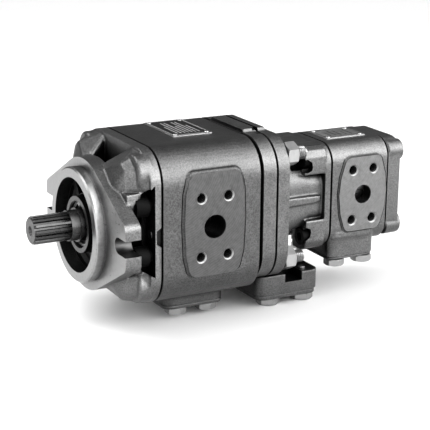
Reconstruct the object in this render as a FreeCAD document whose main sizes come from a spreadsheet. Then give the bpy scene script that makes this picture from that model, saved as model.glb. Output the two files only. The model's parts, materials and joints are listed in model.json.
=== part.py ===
import FreeCAD, Part
import math
import os
import re

import Sketcher
from FreeCAD import Placement, Rotation, Vector

# Tandem internal gear pump. The origin is where the shaft axis meets the mounting flange's face.
# The drive shaft points along -X, the pump body runs along +X, the pressure ports face -Y, +Z is up.
# Both stages have a pinion on the shaft axis that turns an internally toothed ring gear, whose axis
# lies higher by the stage's offset. The filler pieces close the crescent between the two gears.

SIZES = {
    # stations along the shaft axis
    "pilot_length": 9.7,
    "flange_thickness": 15.0,
    "cover_plate_start": 32.0,
    "cover_end": 42.4,
    "housing_end": 138.0,
    "end_plate_end": 154.2,
    "rear_flange_end": 167.0,
    "rear_plate_start": 222.0,
    "rear_cover_end": 229.7,
    "rear_housing_end": 291.7,
    "end_cover_end": 306.3,
    "end_lug": 4.0,
    "joint_groove": 1.4,
    "groove_inset": 3.0,
    # mounting flange
    "pilot_radius": 50.8,
    "recess_radius": 42.0,
    "recess_floor": 8.0,
    "hub_radius": 25.0,
    "hub_start": -6.0,
    "flange_radius": 58.5,
    "ear_reach": 87.0,
    "ear_half": 19.0,
    "ear_corner": 7.0,
    "slot_offset": 73.0,
    "slot_radius": 7.15,
    "neck_radius": 46.0,
    # front pump casings
    "front_half": 68.9,
    "front_middle": 4.35,
    "front_corner": 30.0,
    "dowel_across": 58.0,
    "dowel_low": 1.0,
    "dowel_high": 7.0,
    "pry_notch": 6.0,
    "front_pad_proud": 2.6,
    "foot_cut": -58.0,
    "crown_top": 76.5,
    "crown_half": 29.0,
    "crown_end": 163.0,
    "cover_boss_start": 20.0,
    "cover_boss_radius": 16.0,
    "cover_boss_out": 49.0,
    "cover_bolt_across": 57.5,
    "cover_bolt_up": 22.0,
    "stud_across": 56.0,
    "stud_middle": 8.5,
    "stud_up": 48.0,
    "stud_grip": 26.0,
    "stud_end": 189.0,
    "nut_corner": 10.97,
    "nut_height": 10.8,
    "bolt_radius": 6.0,
    "bolt_hole_radius": 6.5,
    "bolt_thread_radius": 6.05,
    "bolt_seat_radius": 10.0,
    "dowel_radius": 4.0,
    "dowel_depth": 7.0,
    "crown_foot": 60.0,
    # rear pump casings
    "rear_half": 38.5,
    "rear_half_height": 49.3,
    "rear_middle": 5.0,
    "rear_corner": 18.4,
    "rear_pad_proud": 2.0,
    "tie_across": 27.5,
    "tie_up": 36.5,
    "tie_radius": 5.0,
    "rear_neck_front": 48.0,
    "rear_neck_back": 30.0,
    "rear_neck_corner": 30.0,
    "rear_lug": 21.0,
    "rear_lug_top": 26.0,
    "rear_lug_bottom": 30.0,
    "sleeve_bore": 24.0,
    "tie_seat_radius": 8.6,
    "rear_lug_inner": 14.0,
    "rear_lug_cut": 10.0,
    "rear_rib_inner": 24.5,
    "rear_rib_outer": 37.0,
    "rear_rib_bottom": 1.5,
    "rear_rib_top": 9.5,
    "rear_dowel_across": 34.3,
    "rear_dowel_radius": 2.0,
    "rear_dowel_depth": 5.0,
    "cap_inset": 0.8,
    "cap_lug_radius": 10.0,
    # ports
    "front_port_x": 91.5,
    "front_port_z": 4.3,
    "front_port_radius": 10.3,
    "front_port_along": 26.2,
    "front_port_up": 52.4,
    "rear_port_x": 263.4,
    "rear_port_z": 4.9,
    "rear_port_radius": 8.65,
    "rear_port_along": 22.3,
    "rear_port_up": 47.6,
    "front_port_depth": 18.0,
    "rear_port_depth": 7.0,
    "port_widening": 2.0,
    "port_thread_radius": 4.25,
    "port_thread_depth": 16.0,
    # suction pads under the casings
    "front_foot_x": 89.5,
    "front_foot_half": 30.5,
    "front_foot_wide": 40.0,
    "front_foot_base": -74.0,
    "front_inlet_radius": 16.0,
    "rear_foot_x": 256.0,
    "rear_foot_half": 26.2,
    "rear_foot_wide": 37.5,
    "rear_foot_base": -54.0,
    "rear_inlet_radius": 14.0,
    "inlet_along": 30.2,
    "inlet_across": 58.7,
    "block_start": 148.0,
    "block_end": 213.0,
    "block_wide": 49.0,
    "block_base": -76.0,
    "block_bolt_x": 184.0,
    "block_bolt_along": 35.7,
    "block_bolt_across": 69.9,
    "block_inlet_radius": 19.0,
    "relief_start": 176.0,
    "relief_end": 194.0,
    "relief_wide": 22.0,
    "relief_depth": 8.0,
    "plug_x": 200.0,
    "plug_y": -38.0,
    "plug_radius": 3.2,
    "foot_bolt_radius": 5.0,
    "foot_bolt_hole_radius": 5.5,
    "foot_bolt_thread_radius": 5.05,
    "blank_thickness": 3.0,
    "gasket_thickness": 0.8,
    # shaft and bearings
    "shaft_tip": -49.5,
    "spline_radius": 12.49,
    "spline_end": -16.0,
    "collar_radius": 13.5,
    "seal_land_radius": 15.0,
    "journal_radius": 17.5,
    "journal_start": 13.0,
    "seal_bore_radius": 20.25,
    "bush_radius": 21.0,
    "rear_spline_radius": 10.2,
    "rear_journal_radius": 11.0,
    "rear_bush_radius": 14.5,
    "middle_bush_end": 148.0,
    "rear_bush_start": 208.0,
    "end_bush_end": 302.0,
    "seal_start": 0.5,
    "seal_length": 8.0,
    "clip_start": -2.5,
    "clip_thickness": 1.4,
    "clip_lug_radius": 2.0,
    "coupling_seal_start": 200.0,
    "coupling_seal_radius": 17.0,
    "coupling_seal_length": 6.5,
    "o_ring_radius": 1.25,
    "sleeve_start": 152.0,
    "sleeve_end": 198.0,
    "sleeve_radius": 18.0,
    "front_mesh_end": 171.0,
    "rear_mesh_start": 176.0,
    "rear_shaft_tip": 178.0,
    "rear_shaft_spline_end": 200.0,
    "running_gap": 0.05,
    "bore_gap": 0.06,
    "face_gap": 0.1,
    "free_gap": 0.3,
    # gear sets
    "pinion_teeth": 13,
    "ring_teeth": 19,
    "pressure_angle": 25,
    "backlash": 0.3,
    "front_module": 3.5,
    "front_offset": 10.5,
    "front_ring_radius": 45.5,
    "front_gear_start": 59.5,
    "front_gear_end": 123.5,
    "front_disc": 8.0,
    "rear_module": 2.2,
    "rear_offset": 6.6,
    "rear_ring_radius": 30.0,
    "rear_gear_start": 245.4,
    "rear_gear_end": 281.4,
    "rear_disc": 6.0,
}

doc = FreeCAD.newDocument("GearPump")
sheet = doc.addObject("Spreadsheet::Sheet", "Sizes")
for row, (alias, value) in enumerate(SIZES.items(), start=1):
    sheet.set("A%d" % row, alias)
    sheet.set("B%d" % row, str(value))
    sheet.setAlias("B%d" % row, alias)
doc.recompute()

AXES = {
    "x": Rotation(Vector(0, 1, 0), 90),
    "y": Rotation(Vector(1, 0, 0), -90),
    "z": Rotation(),
}
SIDES = (-1, 1)
CORNERS = [(across, up) for across in SIDES for up in SIDES]
SPLINE_TEETH = 15
SUBPARTS = []


def size(alias):
    """The number in a cell of the sheet."""
    return float(getattr(sheet, alias))


def expression(text):
    """Turn a formula in plain aliases into one that names the sheet."""
    def named(match):
        word = match.group(0)
        return "Sizes." + word if word in SIZES else word
    return re.sub(r"[a-z][a-z_]*", named, str(text))


def bind(item, **formulas):
    """Tie properties of an object to the sheet."""
    for name, formula in formulas.items():
        item.setExpression(name, expression(formula))


def place(item, x="0", y="0", z="0", axis="z"):
    """Put an object at a point, with its own Z turned to the named axis."""
    item.Placement = Placement(Vector(), AXES[axis])
    for name, formula in (("x", x), ("y", y), ("z", z)):
        item.setExpression("Placement.Base." + name, expression(formula))
    return item


def keep(item, label):
    """Make an object one of the sub-parts that are written out."""
    item.Label = label
    SUBPARTS.append(item)
    return item


# ---------------------------------------------------------------- primitives and booleans

def cylinder(name, radius, length, x="0", y="0", z="0", axis="x"):
    item = doc.addObject("Part::Cylinder", name)
    bind(item, Radius=radius, Height=length)
    return place(item, x, y, z, axis)


def box(name, start, end):
    """A box between two corners, each given as three formulas."""
    item = doc.addObject("Part::Box", name)
    lengths = ["(%s) - (%s)" % (high, low) for low, high in zip(start, end)]
    bind(item, Length=lengths[0], Width=lengths[1], Height=lengths[2])
    return place(item, *start)


def hexagon(name, radius, length, x="0", y="0", z="0", axis="x"):
    item = doc.addObject("Part::Prism", name)
    item.Polygon = 6
    bind(item, Circumradius=radius, Height=length)
    return place(item, x, y, z, axis)


def fuse(name, pieces):
    item = doc.addObject("Part::MultiFuse", name)
    item.Shapes = pieces
    return item


def cut(name, base, tool):
    item = doc.addObject("Part::Cut", name)
    item.Base = base
    item.Tool = tool
    return item


def group(label, pieces):
    """Separate solids that share one node."""
    item = doc.addObject("Part::Compound", label)
    item.Links = pieces
    return keep(item, label)


def ring(label, outer, inner, start, length, z="0"):
    """A round ring about an axis parallel to X."""
    outside = cylinder(label + "_outside", outer, length, start, z=z)
    inside = cylinder(label + "_inside", inner, "(%s) + 2" % length, "(%s) - 1" % start, z=z)
    return keep(cut(label, outside, inside), label)


# ---------------------------------------------------------------- PartDesign bodies

def new_body(label):
    return keep(doc.addObject("PartDesign::Body", label), label)


def sketch_on(body, role, offset, name):
    """A sketch on one of the body's own origin planes, moved along the plane's normal."""
    sketch = body.newObject("Sketcher::SketchObject", name)
    plane = next(item for item in body.Origin.OriginFeatures if item.Role == role)
    sketch.AttachmentSupport = [(plane, "")]
    sketch.MapMode = "FlatFace"
    sketch.setExpression("AttachmentOffset.Base.z", expression(offset))
    return sketch


def constrain(sketch, kind, where, formula):
    """Add a driving dimension and tie it to the sheet."""
    value = float(sketch.evalExpression(expression(formula)))
    index = sketch.addConstraint(Sketcher.Constraint(kind, *where, value))
    sketch.setExpression("Constraints[%d]" % index, expression(formula))


def evaluate(sketch, formula):
    return float(sketch.evalExpression(expression(formula)))


def draw_circle(sketch, radius, across="0", up="0"):
    middle = Vector(evaluate(sketch, across), evaluate(sketch, up), 0)
    circle = Part.Circle(middle, Vector(0, 0, 1), evaluate(sketch, radius))
    index = sketch.addGeometry(circle, False)
    constrain(sketch, "Radius", (index,), radius)
    pin_point(sketch, index, 3, across, up)


def pin_point(sketch, index, corner, across, up):
    """Fix one point of the sketch's geometry by its two coordinates."""
    for kind, formula in (("DistanceX", across), ("DistanceY", up)):
        constrain(sketch, kind, (-1, 1, index, corner), formula)


def draw_polygon(sketch, points):
    """A closed outline of straight lines through points given as pairs of formulas."""
    corners = [Vector(evaluate(sketch, a), evaluate(sketch, b), 0) for a, b in points]
    first = sketch.GeometryCount
    for index, corner in enumerate(corners):
        following = corners[(index + 1) % len(corners)]
        sketch.addGeometry(Part.LineSegment(corner, following), False)
    for index, (across, up) in enumerate(points):
        line = first + index
        following = first + (index + 1) % len(points)
        sketch.addConstraint(Sketcher.Constraint("Coincident", line, 2, following, 1))
        pin_point(sketch, line, 1, across, up)


def draw_rectangle(sketch, left, right, bottom, top):
    draw_polygon(sketch, [(left, bottom), (right, bottom), (right, top), (left, top)])


def draw_rounded(sketch, middle, half, wide, corner):
    """A rectangle centred on (middle, 0), with a quarter circle at each corner."""
    turns = [(1, -1), (1, 1), (-1, 1), (-1, -1)]
    ends = []
    for side, rise in turns:
        across = "(%s) + %d * (%s)" % (middle, side, half)
        inner_across = "(%s) + %d * ((%s) - (%s))" % (middle, side, half, corner)
        up = "%d * (%s)" % (rise, wide)
        inner_up = "%d * ((%s) - (%s))" % (rise, wide, corner)
        pair = [(inner_across, up), (across, inner_up)]
        ends.append(pair if side == rise * -1 else pair[::-1])
    points = [[Vector(evaluate(sketch, a), evaluate(sketch, b), 0) for a, b in pair]
              for pair in ends]
    radius = evaluate(sketch, corner)
    first = sketch.GeometryCount
    for number, (side, rise) in enumerate(turns):
        start, finish = points[number]
        following = points[(number + 1) % 4][0]
        centre = Vector(evaluate(sketch, middle) + side * (evaluate(sketch, half) - radius),
                        rise * (evaluate(sketch, wide) - radius), 0)
        bulge = centre + Vector(side, rise, 0).normalize() * radius
        sketch.addGeometry(Part.Arc(start, bulge, finish), False)
        sketch.addGeometry(Part.LineSegment(finish, following), False)
    for number in range(4):
        arc = first + 2 * number
        line = arc + 1
        following = first + (2 * number + 2) % 8
        pin_point(sketch, line, 1, *ends[number][1])
        pin_point(sketch, line, 2, *ends[(number + 1) % 4][0])
        sketch.addConstraint(Sketcher.Constraint("Coincident", arc, 2, line, 1))
        sketch.addConstraint(Sketcher.Constraint("Coincident", line, 2, following, 1))
        constrain(sketch, "Radius", (arc,), corner)


def pad(body, sketch, length):
    feature = body.newObject("PartDesign::Pad", sketch.Name + "_pad")
    feature.Profile = sketch
    bind(feature, Length=length)
    body.Tip = feature
    return feature


def pocket(body, sketch, depth):
    """Cut from the sketch along its plane's normal."""
    feature = body.newObject("PartDesign::Pocket", sketch.Name + "_pocket")
    feature.Profile = sketch
    feature.Reversed = True
    bind(feature, Length=depth)
    body.Tip = feature
    return feature


def round_edges(body, radius, wanted):
    """Fillet the edges of the body for which the test is true."""
    doc.recompute()
    edges = body.Tip.Shape.Edges
    names = ["Edge%d" % (number + 1) for number, edge in enumerate(edges) if wanted(edge)]
    base = body.Tip
    feature = body.newObject("PartDesign::Fillet", "%s_round%d" % (body.Name, len(body.Group)))
    feature.Base = (base, names)
    bind(feature, Radius=radius)
    body.Tip = feature
    return feature


def runs_along(edge, direction):
    """True for a straight edge parallel to the direction."""
    if edge.Curve.TypeId != "Part::GeomLine":
        return False
    return abs(edge.Curve.Direction.dot(direction)) > 0.999


def disc_pad(body, name, start, length, radius, across="0", up="0"):
    sketch = sketch_on(body, "YZ_Plane", start, name)
    draw_circle(sketch, radius, across, up)
    return pad(body, sketch, length)


def bore(body, name, start, length, radius, across="0", up="0"):
    sketch = sketch_on(body, "YZ_Plane", start, name)
    draw_circle(sketch, radius, across, up)
    return pocket(body, sketch, length)


def bores(body, name, start, length, radius, centres):
    """Several equal holes along X as one pocket."""
    sketch = sketch_on(body, "YZ_Plane", start, name)
    for across, up in centres:
        draw_circle(sketch, radius, across, up)
    return pocket(body, sketch, length)


def slab(body, name, start, length, half, bottom, top, corner):
    """A plate across the shaft axis, with rounded corners."""
    sketch = sketch_on(body, "YZ_Plane", start, name)
    draw_rectangle(sketch, "-(%s)" % half, half, bottom, top)
    pad(body, sketch, length)
    middle = evaluate(sketch, "(%s) + (%s) / 2" % (start, length))
    side = evaluate(sketch, half)
    round_edges(body, corner, lambda edge: (
        runs_along(edge, Vector(1, 0, 0))
        and abs(abs(edge.CenterOfMass.y) - side) < 0.1
        and abs(edge.CenterOfMass.x - middle) < 0.1))


def spigot(body, name, start, groove, end, radius, up):
    """A round locating step with a groove for an O-ring, from start to end along X."""
    disc_pad(body, name + "_foot", start, "(%s) - (%s)" % (groove, start), radius, up=up)
    disc_pad(body, name + "_groove", groove, "3", "(%s) - 2.6" % radius, up=up)
    disc_pad(body, name + "_nose", "(%s) + 3" % groove,
             "(%s) - (%s) - 3" % (end, groove), radius, up=up)


def four_places(across, up, middle="0"):
    """The four corners of a rectangle of bolts, as pairs of formulas."""
    return [("%d * (%s)" % (side, across), "(%s) + %d * (%s)" % (middle, rise, up))
            for side, rise in CORNERS]


COVER_BOLTS = four_places("cover_bolt_across", "cover_bolt_up", "front_middle")
STUDS = four_places("stud_across", "stud_up", "stud_middle")
TIE_BOLTS = four_places("tie_across", "tie_up", "rear_middle")
FRONT_BOTTOM = "front_middle - front_half"
FRONT_TOP = "front_middle + front_half"
REAR_BOTTOM = "rear_middle - rear_half_height"
REAR_TOP = "rear_middle + rear_half_height"
FRONT_DOWELS = [("-dowel_across", "dowel_low"), ("dowel_across", "dowel_high")]
PILLAR_ROOT = [("10", "36"), ("40", "22"), ("53", "40"), ("50", "58"), ("10", "54")]
PILLAR_TIP = [("26", "36.5"), ("67.5", "40.5"), ("59", "60"), ("45", "68"), ("26", "68.4")]
REAR_DOWELS = [("-rear_dowel_across", "rear_middle"), ("rear_dowel_across", "rear_middle")]


# ---------------------------------------------------------------- casings

def make_front_cover():
    """Mounting flange with two slotted ears, pilot, neck, four corner pillars and square plate."""
    body = new_body("front_cover")
    disc_pad(body, "cover_flange", "0", "flange_thickness", "flange_radius")
    ears = sketch_on(body, "YZ_Plane", "0", "cover_ears")
    reach = math.hypot(size("ear_reach"), size("ear_half"))
    lean = math.degrees(math.atan2(size("ear_half"), size("ear_reach")))
    touch = lean + math.degrees(math.acos(size("flange_radius") / reach))
    touch_across = "flange_radius * cos(%.4f deg)" % touch
    touch_up = "flange_radius * sin(%.4f deg)" % touch
    draw_polygon(ears, [
        ("-ear_reach", "-ear_half"), ("-(%s)" % touch_across, "-(%s)" % touch_up),
        (touch_across, "-(%s)" % touch_up), ("ear_reach", "-ear_half"),
        ("ear_reach", "ear_half"), (touch_across, touch_up),
        ("-(%s)" % touch_across, touch_up), ("-ear_reach", "ear_half")])
    pad(body, ears, "flange_thickness")
    round_edges(body, "ear_corner", lambda edge: (
        runs_along(edge, Vector(1, 0, 0)) and abs(edge.CenterOfMass.y) > size("ear_reach") - 1))
    disc_pad(body, "cover_pilot", "-pilot_length", "pilot_length", "pilot_radius")
    disc_pad(body, "cover_neck", "flange_thickness", "cover_plate_start - flange_thickness",
             "neck_radius")
    slab(body, "cover_plate", "cover_plate_start", "cover_end - cover_plate_start",
         "front_half", FRONT_BOTTOM, FRONT_TOP, "front_corner")
    for number, (side, rise) in enumerate(CORNERS, start=1):
        add_pillar(body, "cover_pillar%d" % number, side, rise)
        disc_pad(body, "cover_boss%d" % number, "cover_boss_start",
                 "cover_plate_start - cover_boss_start", "cover_boss_radius",
                 "%d * cover_boss_out" % side, "front_middle + %d * cover_boss_out" % rise)
    spigot(body, "cover_spigot", "cover_end", "cover_end + 2",
           "front_gear_start - face_gap - front_disc", "front_ring_radius", "front_offset")
    bore(body, "cover_recess", "-pilot_length - 1", "pilot_length + 1 + recess_floor",
         "recess_radius")
    disc_pad(body, "cover_hub", "hub_start", "recess_floor - hub_start", "hub_radius")
    bore(body, "cover_seal_bore", "hub_start - 1", "journal_start + 1 - hub_start",
         "seal_bore_radius")
    bore(body, "cover_clip_groove", "clip_start - 0.1", "clip_thickness + 0.2",
         "seal_bore_radius + 0.9")
    bore(body, "cover_bush_bore", "journal_start", "front_gear_start - journal_start",
         "bush_radius")
    for number, side in enumerate(SIDES, start=1):
        slot = sketch_on(body, "YZ_Plane", "-1", "cover_slot%d" % number)
        middle = "%d * slot_offset" % side
        mouth = "%d * (ear_reach + 2)" % side
        draw_polygon(slot, [(middle, "-slot_radius"), (mouth, "-slot_radius"),
                            (mouth, "slot_radius"), (middle, "slot_radius")])
        pocket(body, slot, "flange_thickness + 2")
        bore(body, "cover_slot_end%d" % number, "-1", "flange_thickness + 2", "slot_radius",
             middle, "0")
    bores(body, "cover_bolt_holes", "flange_thickness", "cover_end",
          "bolt_hole_radius", COVER_BOLTS)
    bores(body, "cover_bolt_seats", "flange_thickness + 0.5", "cover_plate_start - flange_thickness",
          "bolt_seat_radius", COVER_BOLTS)
    bores(body, "cover_dowel_holes", "cover_end - dowel_depth", "dowel_depth", "dowel_radius",
          FRONT_DOWELS)
    notch = sketch_on(body, "YZ_Plane", "cover_end - pry_notch", "cover_notch")
    draw_rectangle(notch, "-front_half - 1", "-front_half + 3", "-9.6", "10")
    pocket(body, notch, "pry_notch")


def add_pillar(body, name, side, rise):
    """A corner rib that spreads from the flange's rim to the corner of the square plate."""
    root = sketch_on(body, "YZ_Plane", "flange_thickness - 5", name + "_root")
    tip = sketch_on(body, "YZ_Plane", "cover_plate_start", name + "_tip")
    draw_polygon(root, [("%d * %s" % (side, across), "%d * %s" % (rise, up))
                        for across, up in PILLAR_ROOT])
    draw_polygon(tip, [("%d * %s" % (side, across), "front_middle + %d * %s" % (rise, up))
                       for across, up in PILLAR_TIP])
    loft = body.newObject("PartDesign::AdditiveLoft", name)
    loft.Profile = root
    loft.Sections = [tip]
    loft.Ruled = True
    body.Tip = loft


def make_front_housing():
    """The main casing: gear chamber, pressure port pad, and suction pad underneath."""
    body = new_body("front_housing")
    length = "housing_end - cover_end"
    slab(body, "housing_block", "cover_end", length, "front_half", FRONT_BOTTOM, FRONT_TOP,
         "front_corner")
    port_pad(body, "housing_pad", "front_half", "front_pad_proud", "front_port_x",
             [("18", "54"), ("26", "46"), ("30", "8"), ("26", "-30"), ("18", "-38")])
    foot(body, "housing_foot", "front_foot_x", "front_foot_half", "front_foot_wide",
         "front_foot_base", "12")
    bore(body, "housing_chamber", "cover_end - 1", length + " + 2",
         "front_ring_radius + bore_gap", up="front_offset")
    port_holes(body, "housing_port", "front_port", "front_half + front_pad_proud")
    inlet(body, "housing_inlet", "front_foot_x", "front_inlet_radius", "front_foot_base", "40")
    gallery(body, "housing_gallery", ("front_foot_x - 14", "front_foot_x + 14"),
            ("6", "50"), "-46", "66")
    bolt_sockets(body, "housing_foot_threads", "front_foot_x", "inlet_along", "inlet_across",
                 "front_foot_base", "foot_bolt_thread_radius")
    bores(body, "housing_cover_threads", "cover_end - 1", "31", "bolt_thread_radius", COVER_BOLTS)
    bores(body, "housing_stud_threads", "housing_end - stud_grip - 1", "stud_grip + 2",
          "bolt_thread_radius", STUDS)
    bores(body, "housing_dowels", "cover_end - 1", "dowel_depth + 1", "dowel_radius",
          FRONT_DOWELS)
    bores(body, "housing_rear_dowels", "housing_end - dowel_depth", "dowel_depth + 1",
          "dowel_radius", FRONT_DOWELS)


def port_pad(body, name, half, proud, middle, half_outline):
    """A raised barrel-shaped face on the near side, given by half of its outline."""
    sketch = sketch_on(body, "XZ_Plane", "(%s) - 1" % half, name)
    right = [("(%s) + %s" % (middle, across), up) for across, up in half_outline]
    left = [("(%s) - %s" % (middle, across), up) for across, up in reversed(half_outline)]
    draw_polygon(sketch, right + left)
    pad(body, sketch, "(%s) + 1" % proud)


def foot(body, name, middle, half, wide, base, corner):
    """The pad under a casing that carries the suction port."""
    sketch = sketch_on(body, "XY_Plane", base, name)
    draw_rounded(sketch, middle, half, wide, corner)
    pad(body, sketch, "30")


def port_holes(body, name, port, face):
    """A machined port that opens into a wider cast passage, with four threaded holes round it."""
    passage = sketch_on(body, "XZ_Plane", "10", name + "_passage")
    draw_circle(passage, port + "_radius + port_widening", port + "_x", port + "_z")
    pocket(body, passage, "(%s) - %s_depth - 10" % (face, port))
    mouth = sketch_on(body, "XZ_Plane", "(%s) - %s_depth" % (face, port), name)
    draw_circle(mouth, port + "_radius", port + "_x", port + "_z")
    pocket(body, mouth, port + "_depth + 1")
    threads = sketch_on(body, "XZ_Plane", "(%s) - port_thread_depth" % face, name + "_threads")
    for side, rise in CORNERS:
        draw_circle(threads, "port_thread_radius",
                    "%s_x + %d * %s_along / 2" % (port, side, port),
                    "%s_z + %d * %s_up / 2" % (port, rise, port))
    pocket(body, threads, "port_thread_depth + 1")


def inlet(body, name, x, radius, base, depth):
    sketch = sketch_on(body, "XY_Plane", "(%s) - 1" % base, name)
    draw_circle(sketch, radius, x, "0")
    pocket(body, sketch, "(%s) + 1" % depth)


def gallery(body, name, along, across, bottom, height):
    """The cast passage from the suction port to the far side of the gear chamber."""
    sketch = sketch_on(body, "XY_Plane", bottom, name)
    draw_rectangle(sketch, along[0], along[1], across[0], across[1])
    pocket(body, sketch, height)


def bolt_sockets(body, name, x, along, across, base, radius):
    """Four holes for the bolts of a suction cover, up from the pad's face."""
    sketch = sketch_on(body, "XY_Plane", "(%s) - 1" % base, name)
    for side, rise in CORNERS:
        draw_circle(sketch, radius, "(%s) + %d * (%s) / 2" % (x, side, along),
                    "%d * (%s) / 2" % (rise, across))
    pocket(body, sketch, "17")


def make_end_plate():
    """The plate that closes the front gear chamber and carries the rear bush."""
    body = new_body("end_plate")
    slab(body, "end_plate_step", "housing_end", "joint_groove", "front_half - groove_inset",
         "foot_cut + groove_inset", FRONT_TOP + " - groove_inset", "front_corner - 3")
    slab(body, "end_plate_slab", "housing_end + joint_groove",
         "end_plate_end - housing_end - joint_groove", "front_half", "foot_cut", FRONT_TOP,
         "front_corner")
    crown = sketch_on(body, "YZ_Plane", "housing_end + joint_groove", "end_plate_crown")
    draw_rectangle(crown, "-crown_half", "crown_half", "crown_foot", "crown_top")
    pad(body, crown, "end_plate_end - housing_end - joint_groove")
    spigot(body, "end_plate_spigot", "front_gear_end + face_gap + front_disc", "housing_end - 4.5",
           "housing_end", "front_ring_radius", "front_offset")
    bore(body, "end_plate_bush_bore", "housing_end - 10", "22", "bush_radius")
    bore(body, "end_plate_bore", "housing_end", "20", "20")
    bores(body, "end_plate_studs", "housing_end - 1", "20", "bolt_hole_radius", STUDS)
    bores(body, "end_plate_dowels", "housing_end - 1", "dowel_depth + 1", "dowel_radius",
          FRONT_DOWELS)


def make_rear_cover():
    """The rear pump's own flange, cone-shaped neck, corner lugs and plate in one casting."""
    body = new_body("rear_cover")
    slab(body, "rear_flange", "end_plate_end", "rear_flange_end - end_plate_end", "front_half",
         "foot_cut", FRONT_TOP, "front_corner")
    crown = sketch_on(body, "YZ_Plane", "end_plate_end", "rear_flange_crown")
    draw_rectangle(crown, "-crown_half", "crown_half", "crown_foot", "crown_top")
    pad(body, crown, "crown_end - end_plate_end")
    wide_end = sketch_on(body, "YZ_Plane", "rear_flange_end", "rear_neck_wide")
    draw_rounded(wide_end, "0", "rear_neck_front", "rear_neck_front", "rear_neck_corner")
    slim_end = sketch_on(body, "YZ_Plane", "rear_plate_start", "rear_neck_slim")
    draw_rounded(slim_end, "0", "rear_neck_back", "rear_neck_back", "rear_neck_corner - 5")
    neck = body.newObject("PartDesign::AdditiveLoft", "rear_neck")
    neck.Profile = wide_end
    neck.Sections = [slim_end]
    body.Tip = neck
    slab(body, "rear_plate", "rear_plate_start", "rear_cover_end - rear_plate_start",
         "rear_half", REAR_BOTTOM, REAR_TOP, "rear_corner")
    for number, (side, rise) in enumerate(CORNERS, start=1):
        lug = sketch_on(body, "YZ_Plane", "rear_plate_start - rear_lug", "rear_lug%d" % number)
        depth = "rear_lug_top" if rise > 0 else "rear_lug_bottom"
        outer = "(rear_middle + %d * (rear_half_height - 0.5))" % rise
        inner = "(rear_middle + %d * (rear_half_height - %s))" % (rise, depth)
        root, edge = "%d * rear_lug_inner" % side, "%d * (rear_half - 0.5)" % side
        draw_polygon(lug, [
            (root, outer), ("%d * (rear_half - rear_lug_cut)" % side, outer),
            (edge, "(rear_middle + %d * (rear_half_height - rear_lug_cut))" % rise),
            (edge, inner), (root, inner)])
        pad(body, lug, "rear_lug")
    for number, side in enumerate(SIDES, start=1):
        rib = sketch_on(body, "YZ_Plane", "rear_flange_end", "rear_rib%d" % number)
        draw_rectangle(rib, "%d * rear_rib_inner" % side, "%d * rear_rib_outer" % side,
                       "rear_rib_bottom", "rear_rib_top")
        pad(body, rib, "rear_plate_start - rear_flange_end")
    spigot(body, "rear_spigot", "rear_cover_end", "rear_cover_end + 2",
           "rear_gear_start - face_gap - rear_disc", "rear_ring_radius", "rear_offset")
    bore(body, "rear_cover_sleeve_bore", "end_plate_end - 1",
         "coupling_seal_start + 1 - end_plate_end", "sleeve_bore")
    bore(body, "rear_cover_seal_bore", "coupling_seal_start - 1",
         "rear_bush_start + 1 - coupling_seal_start", "coupling_seal_radius")
    bore(body, "rear_cover_bush_bore", "rear_bush_start - 1",
         "rear_gear_start + 1 - rear_bush_start", "rear_bush_radius")
    bores(body, "rear_cover_studs", "end_plate_end - 1", "rear_flange_end + 2 - end_plate_end",
          "bolt_hole_radius", STUDS)
    bores(body, "rear_cover_ties", "rear_plate_start - rear_lug - 1", "rear_lug + 9",
          "tie_radius + 0.25", TIE_BOLTS)
    bores(body, "rear_cover_tie_seats", "rear_plate_start - rear_lug - 12", "24",
          "tie_seat_radius", TIE_BOLTS)
    bores(body, "rear_cover_dowels", "rear_cover_end - rear_dowel_depth", "rear_dowel_depth",
          "rear_dowel_radius", REAR_DOWELS)


def make_rear_housing():
    """The rear pump's casing, built like the main one at a smaller size."""
    body = new_body("rear_housing")
    length = "rear_housing_end - rear_cover_end"
    slab(body, "rear_block", "rear_cover_end", length, "rear_half", REAR_BOTTOM, REAR_TOP,
         "rear_corner")
    port_pad(body, "rear_pad", "rear_half", "rear_pad_proud", "rear_port_x",
             [("14", "41.5"), ("19", "36"), ("26", "6"), ("19", "-27"), ("14", "-32.5")])
    foot(body, "rear_foot", "rear_foot_x", "rear_foot_half", "rear_foot_wide",
         "rear_foot_base", "10")
    bore(body, "rear_chamber", "rear_cover_end - 1", length + " + 2",
         "rear_ring_radius + bore_gap", up="rear_offset")
    port_holes(body, "rear_port_hole", "rear_port", "rear_half + rear_pad_proud")
    inlet(body, "rear_inlet", "rear_foot_x", "rear_inlet_radius", "rear_foot_base", "24")
    gallery(body, "rear_gallery", ("rear_foot_x - 8", "rear_foot_x + 14"), ("3", "19"),
            "-32", "20")
    bolt_sockets(body, "rear_foot_threads", "rear_foot_x", "inlet_along", "inlet_across",
                 "rear_foot_base", "foot_bolt_thread_radius")
    bores(body, "rear_housing_ties", "rear_cover_end - 1", length + " + 2", "tie_radius + 0.25",
          TIE_BOLTS)
    bores(body, "rear_housing_dowels", "rear_cover_end - 1", "rear_dowel_depth + 1",
          "rear_dowel_radius", REAR_DOWELS)


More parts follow.
